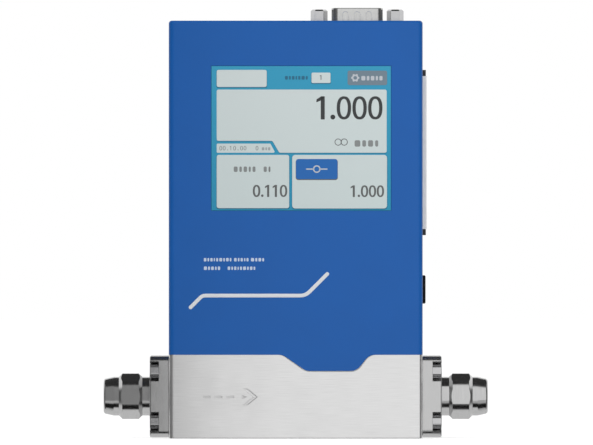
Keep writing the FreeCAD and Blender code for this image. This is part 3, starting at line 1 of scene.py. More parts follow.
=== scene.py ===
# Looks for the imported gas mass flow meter. Everything is in metres, in the frame of the CAD model:
# Z up, the screen towards -Y, gas from -X to +X.
import bpy
import json
import math
import numpy as np
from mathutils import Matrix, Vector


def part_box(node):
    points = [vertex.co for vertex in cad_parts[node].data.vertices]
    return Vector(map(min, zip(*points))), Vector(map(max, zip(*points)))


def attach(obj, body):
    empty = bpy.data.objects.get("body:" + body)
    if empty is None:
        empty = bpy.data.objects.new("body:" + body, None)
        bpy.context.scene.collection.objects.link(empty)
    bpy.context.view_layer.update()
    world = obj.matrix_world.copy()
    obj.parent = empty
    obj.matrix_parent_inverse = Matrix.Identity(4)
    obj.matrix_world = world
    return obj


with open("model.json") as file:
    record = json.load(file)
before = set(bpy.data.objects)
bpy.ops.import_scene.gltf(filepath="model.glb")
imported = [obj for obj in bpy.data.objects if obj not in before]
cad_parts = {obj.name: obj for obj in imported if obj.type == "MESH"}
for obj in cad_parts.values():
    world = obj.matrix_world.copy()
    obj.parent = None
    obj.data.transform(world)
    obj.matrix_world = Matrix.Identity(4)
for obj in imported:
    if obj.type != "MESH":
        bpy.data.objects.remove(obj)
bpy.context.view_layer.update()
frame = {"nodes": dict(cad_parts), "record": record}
nodes = frame["nodes"]
mm = 0.001
print("frame loaded,", len(nodes), "nodes")


# materials: small helpers for node trees

def newFinish(name):
    material = bpy.data.materials.new(name)
    material.use_nodes = True
    return material, material.node_tree, material.node_tree.nodes["Principled BSDF"]


def addNode(tree, kind, **settings):
    node = tree.nodes.new(kind)
    for key, value in settings.items():
        setattr(node, key, value)
    return node


def grain(tree, size, stretch=(1, 1, 1), detail=3):
    # noise whose cells are size metres wide, drawn out along an axis where stretch is above 1
    place = addNode(tree, "ShaderNodeTexCoord")
    mapping = addNode(tree, "ShaderNodeMapping")
    mapping.inputs["Scale"].default_value = [1 / (size * s) for s in stretch]
    noise = addNode(tree, "ShaderNodeTexNoise")
    noise.inputs["Scale"].default_value = 1
    noise.inputs["Detail"].default_value = detail
    tree.links.new(place.outputs["Object"], mapping.inputs["Vector"])
    tree.links.new(mapping.outputs["Vector"], noise.inputs["Vector"])
    return noise.outputs["Fac"]


noiseLow, noiseHigh = 0.3, 0.7  # nearly all of a noise lies between these


def spread(tree, source, low, high, start=noiseLow, end=noiseHigh):
    # a number between low and high, from a source that runs from start to end
    ramp = addNode(tree, "ShaderNodeMapRange")
    ramp.inputs["From Min"].default_value = start
    ramp.inputs["From Max"].default_value = end
    ramp.inputs["To Min"].default_value = low
    ramp.inputs["To Max"].default_value = high
    tree.links.new(source, ramp.inputs["Value"])
    return ramp.outputs["Result"]


def colours(tree, source, stops):
    # a colour from a source between 0 and 1: stops are (place, red, green, blue)
    ramp = addNode(tree, "ShaderNodeValToRGB")
    elements = ramp.color_ramp.elements
    while len(elements) < len(stops):
        elements.new(0.5)
    for element, (place, *colour) in zip(elements, stops):
        element.position = place
        element.color = (*colour, 1)
    tree.links.new(source, ramp.inputs["Fac"])
    return ramp.outputs["Color"]


def relief(tree, shader, source, depth, edge=0.0):
    # bump from a noise, over edges softened by a radius in metres
    bump = addNode(tree, "ShaderNodeBump")
    bump.inputs["Distance"].default_value = depth
    tree.links.new(source, bump.inputs["Height"])
    if edge:
        soft = addNode(tree, "ShaderNodeBevel", samples=6)
        soft.inputs["Radius"].default_value = edge
        tree.links.new(soft.outputs["Normal"], bump.inputs["Normal"])
    tree.links.new(bump.outputs["Normal"], shader.inputs["Normal"])


def scaled(colour, factor):
    return [channel * factor for channel in colour]


# metals

brushTones = (0.93, 1.05)  # darkest and lightest line, as shares of the colour


def brushedMetal(name, values):
    # steel or aluminium with fine lines drawn out along one axis
    material, tree, shader = newFinish(name)
    lines = grain(tree, values["line"], values["along"], detail=4)
    clouds = grain(tree, values["cloud"], detail=2)
    dark, light = [scaled(values["colour"], tone) for tone in brushTones]
    shade = colours(tree, lines, [(noiseLow, *dark), (noiseHigh, *light)])
    tree.links.new(shade, shader.inputs["Base Color"])
    tree.links.new(spread(tree, clouds, *values["rough"]), shader.inputs["Roughness"])
    shader.inputs["Metallic"].default_value = 1
    relief(tree, shader, lines, values["depth"], values["edge"])
    return material


blockSteel = {
    "colour": (0.85, 0.85, 0.85), "rough": (0.30, 0.36), "line": 0.12 * mm, "along": (60, 1, 1),
    "cloud": 9 * mm, "depth": 0.0012 * mm, "edge": 0.12 * mm,
}
flangeSteel = {
    "colour": (0.61, 0.61, 0.61), "rough": (0.20, 0.26), "line": 0.10 * mm, "along": (1, 1, 40),
    "cloud": 6 * mm, "depth": 0.0010 * mm, "edge": 0.15 * mm,
}
turnedSteel = {
    "colour": (0.62, 0.62, 0.62), "rough": (0.13, 0.19), "line": 0.09 * mm, "along": (1, 50, 50),
    "cloud": 5 * mm, "depth": 0.0008 * mm, "edge": 0.12 * mm,
}
screwSteel = {
    "colour": (0.62, 0.62, 0.63), "rough": (0.14, 0.22), "line": 0.10 * mm, "along": (1, 1, 1),
    "cloud": 1.5 * mm, "depth": 0.0010 * mm, "edge": 0.08 * mm,
}
sheetMetal = {
    "colour": (0.60, 0.61, 0.62), "rough": (0.32, 0.42), "line": 0.20 * mm, "along": (1, 1, 25),
    "cloud": 8 * mm, "depth": 0.0015 * mm, "edge": 0.15 * mm,
}
panelMetal = {
    "colour": (0.55, 0.56, 0.57), "rough": (0.28, 0.36), "line": 0.25 * mm, "along": (20, 1, 1),
    "cloud": 6 * mm, "depth": 0.0012 * mm, "edge": 0.10 * mm,
}
tinPlate = {
    "colour": (0.66, 0.66, 0.65), "rough": (0.14, 0.20), "line": 0.15 * mm, "along": (1, 1, 12),
    "cloud": 2 * mm, "depth": 0.0002 * mm, "edge": 0.10 * mm,
}
platedBrass = {
    "colour": (0.75, 0.55, 0.22), "rough": (0.16, 0.24), "line": 0.12 * mm, "along": (1, 1, 20),
    "cloud": 1.5 * mm, "depth": 0.0008 * mm, "edge": 0.05 * mm,
}


def sinteredMetal(name, values):
    # steel grains pressed together, with open pores between them, darkened as painted shade
    material, tree, shader = newFinish(name)
    place = addNode(tree, "ShaderNodeTexCoord")
    cells = addNode(tree, "ShaderNodeTexVoronoi")
    cells.inputs["Scale"].default_value = 1 / values["grain"]
    tree.links.new(place.outputs["Object"], cells.inputs["Vector"])
    distance = cells.outputs["Distance"]
    # painted shade: the colour darkens in the pores between the grains
    paintedPoreShade = scaled(values["colour"], values["poreShade"])
    shade = colours(tree, distance, [(0.1, *values["colour"]), (0.7, *paintedPoreShade)])
    tree.links.new(shade, shader.inputs["Base Color"])
    rough = spread(tree, distance, *values["rough"], *values["reach"])
    tree.links.new(rough, shader.inputs["Roughness"])
    shader.inputs["Metallic"].default_value = 1
    relief(tree, shader, distance, values["depth"])
    return material


sinteredSteel = {
    "colour": (0.45, 0.44, 0.42), "poreShade": 0.25, "rough": (0.35, 0.70), "reach": (0, 0.8),
    "grain": 0.12 * mm, "depth": -0.03 * mm,
}


def woundWire(name, values):
    # turns of enamelled wire side by side along X, with painted shade in the gaps between the turns
    material, tree, shader = newFinish(name)
    place = addNode(tree, "ShaderNodeTexCoord")
    turns = addNode(tree, "ShaderNodeTexWave", bands_direction="X")
    # its bands follow sin(20 scale x), so one pitch is 2 pi / (20 scale)
    turns.inputs["Scale"].default_value = 2 * math.pi / (20 * values["pitch"])
    turns.inputs["Distortion"].default_value = 0
    tree.links.new(place.outputs["Object"], turns.inputs["Vector"])
    # painted shade: the colour darkens in the gaps between the turns
    gaps = scaled(values["colour"], values["paintedGapShade"])
    shade = colours(tree, turns.outputs["Fac"], [(0.0, *gaps), (0.6, *values["colour"])])
    tree.links.new(shade, shader.inputs["Base Color"])
    shader.inputs["Metallic"].default_value = 1
    shader.inputs["Roughness"].default_value = values["rough"]
    relief(tree, shader, turns.outputs["Fac"], values["depth"])
    return material


copperWinding = {
    "colour": (0.60, 0.25, 0.10), "paintedGapShade": 0.25, "rough": 0.3,
    "pitch": 0.16 * mm, "depth": 0.05 * mm,
}


# coats, plastics and rubber

def coatedSurface(name, values):
    # paint, plastic or rubber: a fine skin over slow changes of tone
    material, tree, shader = newFinish(name)
    skin = grain(tree, values["skin"], detail=2)
    clouds = grain(tree, values["cloud"], detail=3)
    colour, change = values["colour"], values["change"]
    dark, light = scaled(colour, 1 - change), scaled(colour, 1 + change)
    shade = colours(tree, clouds, [(noiseLow, *dark), (noiseHigh, *light)])
    tree.links.new(shade, shader.inputs["Base Color"])
    tree.links.new(spread(tree, clouds, *values["rough"]), shader.inputs["Roughness"])
    shader.inputs["Specular IOR Level"].default_value = values["shine"]
    relief(tree, shader, skin, values["depth"], values["edge"])
    return material


blueCoat = {
    "colour": (0.002, 0.093, 0.368), "change": 0.02, "rough": (0.36, 0.42), "shine": 0.28,
    "skin": 0.45 * mm, "cloud": 14 * mm, "depth": 0.0030 * mm, "edge": 0.15 * mm,
}
blackRubber = {
    "colour": (0.009, 0.009, 0.010), "change": 0.15, "rough": (0.55, 0.70), "shine": 0.20,
    "skin": 0.12 * mm, "cloud": 3 * mm, "depth": 0.006 * mm, "edge": 0.15 * mm,
}
blackPlastic = {
    "colour": (0.018, 0.018, 0.019), "change": 0.12, "rough": (0.38, 0.48), "shine": 0.45,
    "skin": 0.15 * mm, "cloud": 3 * mm, "depth": 0.004 * mm, "edge": 0.10 * mm,
}
palePlastic = {
    "colour": (0.86, 0.86, 0.85), "change": 0.02, "rough": (0.40, 0.48), "shine": 0.40,
    "skin": 0.20 * mm, "cloud": 6 * mm, "depth": 0.003 * mm, "edge": 0.10 * mm,
}
flexPlastic = {
    "colour": (0.55, 0.28, 0.06), "change": 0.08, "rough": (0.25, 0.35), "shine": 0.50,
    "skin": 0.40 * mm, "cloud": 4 * mm, "depth": 0.003 * mm, "edge": 0.03 * mm,
}
silverLine = {
    "colour": (0.66, 0.67, 0.69), "change": 0.02, "rough": (0.34, 0.42), "shine": 0.40,
    "skin": 0.15 * mm, "cloud": 5 * mm, "depth": 0.002 * mm, "edge": 0,
}
whiteInk = {
    "colour": (0.48, 0.56, 0.70), "change": 0.03, "rough": (0.45, 0.55), "shine": 0.30,
    "skin": 0.10 * mm, "cloud": 3 * mm, "depth": 0.002 * mm, "edge": 0,
}


def circuitBoard(name, values):
    # green solder resist with paler copper tracks under it, on a square grid
    material, tree, shader = newFinish(name)
    place = addNode(tree, "ShaderNodeTexCoord")
    tracks = addNode(tree, "ShaderNodeTexBrick")
    tracks.offset = values["offset"]
    tracks.inputs["Scale"].default_value = 1 / values["track"]
    tracks.inputs["Color1"].default_value = (*values["colour"], 1)
    tracks.inputs["Color2"].default_value = (*scaled(values["colour"], values["dark"]), 1)
    tracks.inputs["Mortar"].default_value = (*scaled(values["colour"], values["pale"]), 1)
    tracks.inputs["Mortar Size"].default_value = values["line"]
    turned = addNode(tree, "ShaderNodeMapping")
    turned.inputs["Rotation"].default_value = (math.pi / 2, 0, 0)
    tree.links.new(place.outputs["Object"], turned.inputs["Vector"])
    tree.links.new(turned.outputs["Vector"], tracks.inputs["Vector"])
    tree.links.new(tracks.outputs["Color"], shader.inputs["Base Color"])
    shader.inputs["Roughness"].default_value = values["rough"]
    relief(tree, shader, tracks.outputs["Fac"], values["depth"])
    return material


boardGreen = {
    "colour": (0.02, 0.16, 0.06), "dark": 0.8, "pale": 1.7, "rough": 0.35,
    "track": 2.2 * mm, "line": 0.06, "offset": 0.37, "depth": 0.02 * mm,
}


# screen finishes

screenSurface = {"dot": 0.3 * mm, "grainShare": 0.12, "rough": 0.5, "shine": 0.1, "coatRough": 0.06}


def screenFinish(name, values):
    # a lit surface behind smooth glass: a fine grain, a slow change of tone upwards, a clear coat
    material, tree, shader = newFinish(name)
    place = addNode(tree, "ShaderNodeTexCoord")
    axes = addNode(tree, "ShaderNodeSeparateXYZ")
    tree.links.new(place.outputs["Object"], axes.inputs["Vector"])
    height = addNode(tree, "ShaderNodeMapRange")
    height.inputs["From Min"].default_value = screenLow
    height.inputs["From Max"].default_value = screenTop
    tree.links.new(axes.outputs["Z"], height.inputs["Value"])
    dots = grain(tree, screenSurface["dot"], detail=1)
    tone = addNode(tree, "ShaderNodeMath", operation="MULTIPLY_ADD")
    tone.inputs[1].default_value = screenSurface["grainShare"]
    tree.links.new(dots, tone.inputs[0])
    tree.links.new(height.outputs["Result"], tone.inputs[2])
    shade = colours(tree, tone.outputs["Value"], [(0.0, *values["low"]), (1.0, *values["high"])])
    tree.links.new(shade, shader.inputs["Base Color"])
    shader.inputs["Roughness"].default_value = screenSurface["rough"]
    shader.inputs["Specular IOR Level"].default_value = screenSurface["shine"]
    shader.inputs["Coat Weight"].default_value = values["coat"]
    shader.inputs["Coat Roughness"].default_value = screenSurface["coatRough"]
    return material


glassLow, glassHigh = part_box("touch_glass")
screenLeft, screenTop, screenLow = glassLow.x, glassHigh.z, glassLow.z
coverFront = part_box("front_cover")[0].y

tealGlass = {"low": (0.008, 0.228, 0.382), "high": (0.022, 0.283, 0.458), "coat": 0.6}
palePanel = {"low": (0.512, 0.583, 0.583), "high": (0.552, 0.613, 0.613), "coat": 0.4}
blueKey = {"low": (0.011, 0.112, 0.380), "high": (0.015, 0.126, 0.402), "coat": 0.4}
greyKey = {"low": (0.140, 0.196, 0.241), "high": (0.150, 0.206, 0.251), "coat": 0.4}
tealShade = {"low": (0.006, 0.120, 0.200), "high": (0.010, 0.150, 0.240), "coat": 0.4}
darkInk = {"low": (0.030, 0.032, 0.034), "high": (0.042, 0.045, 0.047), "coat": 0.4}
greyInk = {"low": (0.105, 0.110, 0.110), "high": (0.115, 0.120, 0.120), "coat": 0.4}
wordInk = {"low": (0.210, 0.225, 0.225), "high": (0.220, 0.235, 0.235), "coat": 0.4}
faintInk = {"low": (0.300, 0.330, 0.335), "high": (0.320, 0.350, 0.355), "coat": 0.4}
clockInk = {"low": (0.170, 0.185, 0.190), "high": (0.180, 0.195, 0.200), "coat": 0.4}
tealInk = {"low": (0.015, 0.110, 0.190), "high": (0.020, 0.130, 0.220), "coat": 0.4}
paleInk = {"low": (0.420, 0.450, 0.490), "high": (0.460, 0.490, 0.530), "coat": 0.4}

finishes = {
    "block_steel": brushedMetal("blockSteel", blockSteel),
    "flange_steel": brushedMetal("flangeSteel", flangeSteel),
    "fitting_steel": brushedMetal("turnedSteel", turnedSteel),
    "screw_steel": brushedMetal("screwSteel", screwSteel),
    "sintered_steel": sinteredMetal("sinteredSteel", sinteredSteel),
    "blue_coat": coatedSurface("blueCoat", blueCoat),
    "screen_glass": screenFinish("tealGlass", tealGlass),
    "black_rubber": coatedSurface("blackRubber", blackRubber),
    "black_plastic": coatedSurface("blackPlastic", blackPlastic),
    "pale_plastic": coatedSurface("palePlastic", palePlastic),
    "flex_plastic": coatedSurface("flexPlastic", flexPlastic),
    "board_green": circuitBoard("boardGreen", boardGreen),
    "bracket_metal": brushedMetal("sheetMetal", sheetMetal),
    "panel_metal": brushedMetal("panelMetal", panelMetal),
    "shell_tin": brushedMetal("tinPlate", tinPlate),
    "pin_brass": brushedMetal("platedBrass", platedBrass),
    "copper_wire": woundWire("copperWinding", copperWinding),
}
for part in frame["record"]["subparts"]:
    mesh = nodes[part["node"]].data
    mesh.materials.clear()
    mesh.materials.append(finishes[part["material_slot"]])


# surfaces worked out with numpy
# A shape is (points, list of face arrays). Its outline lies in the XZ plane, in metres, and it
# stands on the plane Y = surface, from sunk metres inside it to proud metres in front of it.

sunk = 0.02 * mm
bevelShare = 0.3  # height of a plate's bevel, as a share of the bevel's width


def ringFaces(first, second):
    # quads between two closed rings of point numbers
    return np.stack([first, np.roll(first, -1), np.roll(second, -1), second], axis=1)


def fanFaces(ring, pole):
    # triangles from a closed ring to one point
    return np.stack([ring, np.roll(ring, -1), np.full(len(ring), pole)], axis=1)


def facedOut(points, faces):
    # six times the signed volume, the sum of p1 . (p2 x p3) over triangles, is positive when the
    # faces point outwards
    volume = 0.0
    for block in faces:
        for i in range(1, block.shape[1] - 1):
            first, second, third = points[block[:, 0]], points[block[:, i]], points[block[:, i + 1]]
            volume += np.einsum("ij,ij->", first, np.cross(second, third))
    if volume < 0:
        faces = [block[:, ::-1] for block in faces]
    return points, faces


def standing(outline, depth):
    # outline points (x, z) put at one depth y
    return np.column_stack([outline[:, 0], np.full(len(outline), depth), outline[:, 1]])


def tile(outline, surface, proud, edge):
    # a plate: P(i, j) = outline(i) moved towards its middle by inset(j), at depth(j), closed by
    # two poles
    middle = outline.mean(axis=0)
    inward = middle - outline
    inward /= np.linalg.norm(inward, axis=1)[:, None]
    back, front = surface + sunk, surface - proud
    rings = [standing(outline, back), standing(outline, front + edge * bevelShare),
             standing(outline + inward * edge, front)]
    count = len(outline)
    numbers = np.arange(3 * count).reshape(3, count)
    poles = np.array([[middle[0], back, middle[1]], [middle[0], front, middle[1]]])
    points = np.concatenate(rings + [poles])
    faces = [ringFaces(numbers[0], numbers[1]), ringFaces(numbers[1], numbers[2]),
             fanFaces(numbers[0][::-1], 3 * count), fanFaces(numbers[2], 3 * count + 1)]
    return facedOut(points, faces)


def loop(outer, inner, surface, proud):
    # a flat ring between two outlines with the same number of points
    back, front = surface + sunk, surface - proud
    rings = [standing(outer, back), standing(outer, front),
             standing(inner, front), standing(inner, back)]
    count = len(outer)
    numbers = np.arange(4 * count).reshape(4, count)
    faces = [ringFaces(numbers[j], numbers[(j + 1) % 4]) for j in range(4)]
    return facedOut(np.concatenate(rings), faces)


def roundedOutline(corners, radius, steps=7):
    # straight sides joined by arcs: C + r (cos a, sin a), with C on the corner's bisector, at
    # r / sin(half the corner's angle)
    corners = np.array(corners, float)
    earlier, later = np.roll(corners, 1, axis=0), np.roll(corners, -1, axis=0)
    pieces = []
    for before, corner, after in zip(earlier, corners, later):
        toBefore, toAfter = before - corner, after - corner
        toBefore, toAfter = toBefore / np.linalg.norm(toBefore), toAfter / np.linalg.norm(toAfter)
        half = 0.5 * math.acos(np.clip(toBefore @ toAfter, -1, 1))
        bisector = (toBefore + toAfter) / np.linalg.norm(toBefore + toAfter)
        centre = corner + bisector * radius / math.sin(half)
        start = corner + toBefore * radius / math.tan(half) - centre
        end = corner + toAfter * radius / math.tan(half) - centre
        first = math.atan2(start[1], start[0])
        sweep = (math.atan2(end[1], end[0]) - first + math.pi) % (2 * math.pi) - math.pi
        angles = first + sweep * np.linspace(0, 1, steps)
        pieces.append(centre + radius * np.column_stack([np.cos(angles), np.sin(angles)]))
    return np.concatenate(pieces)


def ovalOutline(centre, halfWidth, halfHeight, power=2.0, count=48):
    # superellipse: x = a |cos t|^(2/n), z = b |sin t|^(2/n), with their signs
    t = np.linspace(0, 2 * math.pi, count, endpoint=False)
    across = halfWidth * np.sign(np.cos(t)) * np.abs(np.cos(t)) ** (2 / power)
    up = halfHeight * np.sign(np.sin(t)) * np.abs(np.sin(t)) ** (2 / power)
    return np.column_stack([centre[0] + across, centre[1] + up])


def makePiece(name, shapes, finish, smooth=False):
    # one object from many shapes, riding on the meter's only body
    points, faces, start = [], [], 0
    for shapePoints, shapeFaces in shapes:
        points.append(shapePoints)
        for block in shapeFaces:
            faces.extend((block + start).tolist())
        start += len(shapePoints)
    mesh = bpy.data.meshes.new(name)
    mesh.from_pydata(np.concatenate(points).tolist(), [], faces)
    mesh.materials.append(finish)
    mesh.polygons.foreach_set("use_smooth", np.full(len(mesh.polygons), smooth))
    mesh.update()
    piece = bpy.data.objects.new(name, mesh)
    bpy.context.scene.collection.objects.link(piece)
    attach(piece, "root")


# what the screen shows: fields, keys and plain numbers, measured in mm from its top left corner

screenLayout = {
    "fields": {
        "blank": {"sides": (1.72, 1.25, 18.1, 6.85), "radius": 0.6},
        "address": {"sides": (32.8, 2.15, 39.0, 5.55), "radius": 0.35},
        "total": {"sides": (1.72, 29.1, 25.45, 46.55), "radius": 0.7},
        "setPoint": {"sides": (26.45, 29.1, 57.5, 46.65), "radius": 1.0},
    },
    "reading": [(1.72, 7.7), (57.4, 7.7), (57.4, 28.4), (22.25, 28.4), (19.95, 24.5), (1.72, 24.5)],
    "status": [(1.72, 25.4), (19.3, 25.4), (20.9, 28.4), (1.72, 28.4)],
    "setKey": (27.7, 30.45, 41.3, 37.05),
    "menuKey": (44.6, 1.5, 57.55, 6.25),
    "radii": {"reading": 0.6, "status": 0.35, "setKey": 0.8, "menuKey": 0.65},
    "shade": {"grow": 0.12, "drop": 0.22},  # of the darker edge below and beside each field
    "keyShade": {"grow": 0.1, "drop": 0.2},
    "proud": {"field": 0.03, "shade": 0.012, "key": 0.045, "keyShade": 0.036},
    "bevel": 0.02,
}


def onScreen(across, down):
    # mm from the screen's top left corner to (x, z) in metres
    return screenLeft + across * mm, screenTop - down * mm


def fieldCorners(sides, grow=0.0, drop=0.0):
    left, top, right, bottom = sides
    left, right = left - grow, right + grow
    top, bottom = top - grow + drop, bottom + grow + drop
    corners = [(left, top), (right, top), (right, bottom), (left, bottom)]
    return [onScreen(*corner) for corner in corners]


def screenTile(corners, proud, radius):
    outline = roundedOutline(corners, radius * mm)
    return tile(outline, coverFront, proud * mm, screenLayout["bevel"] * mm)


def makeScreenFields(layout):
    radii, proud, shade = layout["radii"], layout["proud"], layout["shade"]
    fields, shades = [], []
    for field in layout["fields"].values():
        below = fieldCorners(field["sides"], shade["grow"], shade["drop"])
        fields.append(screenTile(fieldCorners(field["sides"]), proud["field"], field["radius"]))
        shades.append(screenTile(below, proud["shade"], field["radius"]))
    status = [onScreen(*corner) for corner in layout["status"]]
    fields.append(screenTile(status, proud["field"], radii["status"]))
    reading = [onScreen(*corner) for corner in layout["reading"]]  # with a step at lower left
    below = [onScreen(across, down + shade["drop"]) for across, down in layout["reading"]]
    fields.append(screenTile(reading, proud["field"], radii["reading"]))
    shades.append(screenTile(below, proud["shade"], radii["reading"]))
    makePiece("screen_fields", fields, screenFinish("palePanel", palePanel))
    makePiece("screen_shades", shades, screenFinish("tealShade", tealShade))
    setKey = screenTile(fieldCorners(layout["setKey"]), proud["key"], radii["setKey"])
    makePiece("screen_set_key", [setKey], screenFinish("blueKey", blueKey))
    menuKey = screenTile(fieldCorners(layout["menuKey"]), proud["key"], radii["menuKey"])
    makePiece("screen_menu_key", [menuKey], screenFinish("greyKey", greyKey))
    below = fieldCorners(layout["setKey"], layout["keyShade"]["grow"], layout["keyShade"]["drop"])
    keyShade = screenTile(below, proud["keyShade"], radii["setKey"])
    makePiece("screen_key_shade", [keyShade], screenFinish("greyInk", greyInk))


makeScreenFields(screenLayout)
print("screen fields laid out")


# plain numbers: a nought is a ring, a one is a stem with a flag, a point is a dot

figures = {
    # as shares of the figure's height
    "advance": {"0": 0.676, "1": 0.64, ".": 0.28},
    "noughtHalf": 0.31,
    "stemMiddle": 0.345,
    "flagLeft": 0.06,
    "flag": {"tip": 0.27, "back": 0.13, "root": 0.16, "lean": 0.02, "inset": 0.03, "lap": 0.05},
    "dotHalf": 0.105,
    "corner": 0.02,
    "noughtTop": 0.79,  # stroke at top and bottom, as a share of the stroke at the sides
    "outerPower": 2.35, "innerPower": 2.2,
    # in mm
    "proud": 0.05, "flagProud": 0.0495, "bevel": 0.01,
    "reading": {"text": "1.000", "right": 56.24, "base": 17.5, "height": 7.60,
                "stroke": 0.145, "stem": 0.172},
    "total": {"text": "0.110", "right": 24.94, "base": 42.88, "height": 3.95,
              "stroke": 0.165, "stem": 0.18},
    "setPoint": {"text": "1.000", "right": 56.65, "base": 42.92, "height": 3.85,
                 "stroke": 0.165, "stem": 0.18},
    "address": {"text": "1", "right": 36.35, "base": 4.5, "height": 1.55,
                "stroke": 0.15, "stem": 0.2},
    "clock": {"text": "00.10.00", "right": 11.55, "base": 27.6, "height": 1.40,
              "stroke": 0.13, "stem": 0.13, "cell": 0.81},
    "days": {"text": "0", "right": 15.4, "base": 27.6, "height": 1.40,
             "stroke": 0.13, "stem": 0.13},
}


def figureTile(outline, proud):
    return tile(outline, coverFront, proud * mm, figures["bevel"] * mm)


def noughtShape(middle, base, height, stroke):
    # ring between two superellipses, its stroke thinner at top and bottom
    centre = (middle, base + height / 2)
    outer = ovalOutline(centre, figures["noughtHalf"] * height, height / 2, figures["outerPower"])
    across = (figures["noughtHalf"] - stroke) * height
    up = (0.5 - stroke * figures["noughtTop"]) * height
    inner = ovalOutline(centre, across, up, figures["innerPower"])
    return loop(outer, inner, coverFront, figures["proud"] * mm)


def oneShapes(left, base, height, stroke):
    # a stem and a slanting flag that meet at the top
    stemLeft = left + (figures["stemMiddle"] - stroke / 2) * height
    stemRight = stemLeft + stroke * height
    top = base + height
    stem = [(stemLeft, base), (stemRight, base), (stemRight, top), (stemLeft, top)]
    flagLeft = left + figures["flagLeft"] * height
    flag = {place: share * height for place, share in figures["flag"].items()}
    flag = [(flagLeft, top - flag["tip"]), (flagLeft + flag["lean"], top - flag["back"]),
            (stemLeft + flag["lean"], top), (stemRight - flag["inset"], top),
            (stemLeft + flag["lap"], top - flag["root"])]
    fine = figures["corner"] * height
    return [figureTile(roundedOutline(stem, fine, steps=3), figures["proud"]),
            figureTile(roundedOutline(flag, fine, steps=3), figures["flagProud"])]


def numberShapes(values):
    # figures set from right to left
    height = values["height"] * mm
    right, base = onScreen(values["right"], values["base"])
    shapes = []
    for figure in reversed(values["text"]):
        left = right - values.get("cell", figures["advance"][figure]) * height
        if figure == "0":
            shapes.append(noughtShape((left + right) / 2, base, height, values["stroke"]))
        elif figure == "1":
            shapes.extend(oneShapes(left, base, height, values["stem"]))
        else:
            half = figures["dotHalf"] * height
            dot = ovalOutline(((left + right) / 2, base + half), half, half, count=24)
            shapes.append(figureTile(dot, figures["proud"]))
        right = left
    return shapes


numberRows = [
    ("screen_reading", ["reading"], screenFinish("darkInk", darkInk)),
    ("screen_small_numbers", ["total", "setPoint"], screenFinish("greyFigures", greyInk)),
    ("screen_faint_numbers", ["address", "clock", "days"], screenFinish("clockInk", clockInk)),
]
for name, rows, finish in numberRows:
    numbers = [shape for row in rows for shape in numberShapes(figures[row])]
    makePiece(name, numbers, finish)
print("numbers set")


# rows of small blocks, and simple signs

rhythm = {
    # as shares of the row's height: one block and its gap, the gap, a block's rounded corner
    "pitch": 0.95,
    "gap": 0.32,
    "corner": 0.22,
    "widths": [1.2, 0.9, 1.1, 0.8, 1.0, 1.3, 0.9],
    "bevel": 0.01,  # in mm
}


def wordShapes(left, right, base, high, proud):
    # rounded blocks side by side from left to right, their widths in a repeating pattern
    count = max(2, round((right - left) / (rhythm["pitch"] * high)))
    shares = np.resize(rhythm["widths"], count)
    edges = left + (right - left) * np.concatenate([[0], np.cumsum(shares)]) / shares.sum()
    top = base + high
    shapes = []
    for start, end in zip(edges[:-1], edges[1:] - rhythm["gap"] * high):
        corners = [(start, base), (end, base), (end, top), (start, top)]
        block = roundedOutline(corners, rhythm["corner"] * high, steps=4)
        shapes.append(tile(block, coverFront, proud, rhythm["bevel"] * mm))
    return shapes


signs = {
    "proud": 0.05, "keyProud": 0.06,
    # rows of blocks: left, right, base and height
    "greyWords": [(46.9, 55.3, 26.4, 2.1), (7.3, 15.0, 34.7, 1.8), (17.1, 19.9, 34.7, 1.8)],
    "faintWords": [(16.5, 19.6, 27.6, 1.0)],
    "tealWords": [(24.1, 31.9, 4.45, 1.2)],
    "paleWords": [(49.1, 56.5, 4.7, 1.45)],
    "gear": {"across": 47.1, "down": 3.85, "radius": 1.20, "tooth": 0.12, "teeth": 6,
             "steep": 2.2, "hole": 0.60, "points": 128},
    "rings": {"across": (41.5, 43.5), "down": 24.9, "radius": 1.15, "stroke": 0.24},
    "slider": {"left": 31.0, "right": 38.0, "down": 33.75, "line": 0.42, "radius": 1.25,
               "stroke": 0.42, "lap": 0.1, "corner": 0.15},
}


def screenWords(rows, proud):
    shapes = []
    for left, right, base, high in rows:
        start, low = onScreen(left, base)
        shapes += wordShapes(start, onScreen(right, base)[0], low, high * mm, proud * mm)
    return shapes


def gearShape(values, proud):
    # r(t) = R (1 + tooth * clip(steep * cos(teeth * t), -1, 1)), round a hole
    t = np.linspace(0, 2 * math.pi, values["points"], endpoint=False)
    teeth = np.clip(values["steep"] * np.cos(values["teeth"] * t), -1, 1)
    reach = values["radius"] * mm * (1 + values["tooth"] * teeth)
    centre = np.array(onScreen(values["across"], values["down"]))
    circle = np.column_stack([np.cos(t), np.sin(t)])
    outer, inner = centre + circle * reach[:, None], centre + circle * values["hole"] * mm
    return loop(outer, inner, coverFront, proud * mm)


def hoopShape(across, values, proud):
    centre = onScreen(across, values["down"])
    radius, hole = values["radius"] * mm, (values["radius"] - values["stroke"]) * mm
    outer, inner = ovalOutline(centre, radius, radius), ovalOutline(centre, hole, hole)
    return loop(outer, inner, coverFront, proud * mm)


def sliderShapes(values, proud):
    # a ring on a line, which stops at the ring on both sides
    middle = (values["left"] + values["right"]) / 2
    reach = values["radius"] - values["lap"]
    top, low = values["down"] - values["line"] / 2, values["down"] + values["line"] / 2
    bars = [(values["left"], top, middle - reach, low), (middle + reach, top, values["right"], low)]
    shapes = [screenTile(fieldCorners(bar), proud, values["corner"]) for bar in bars]
    return shapes + [hoopShape(middle, values, proud)]


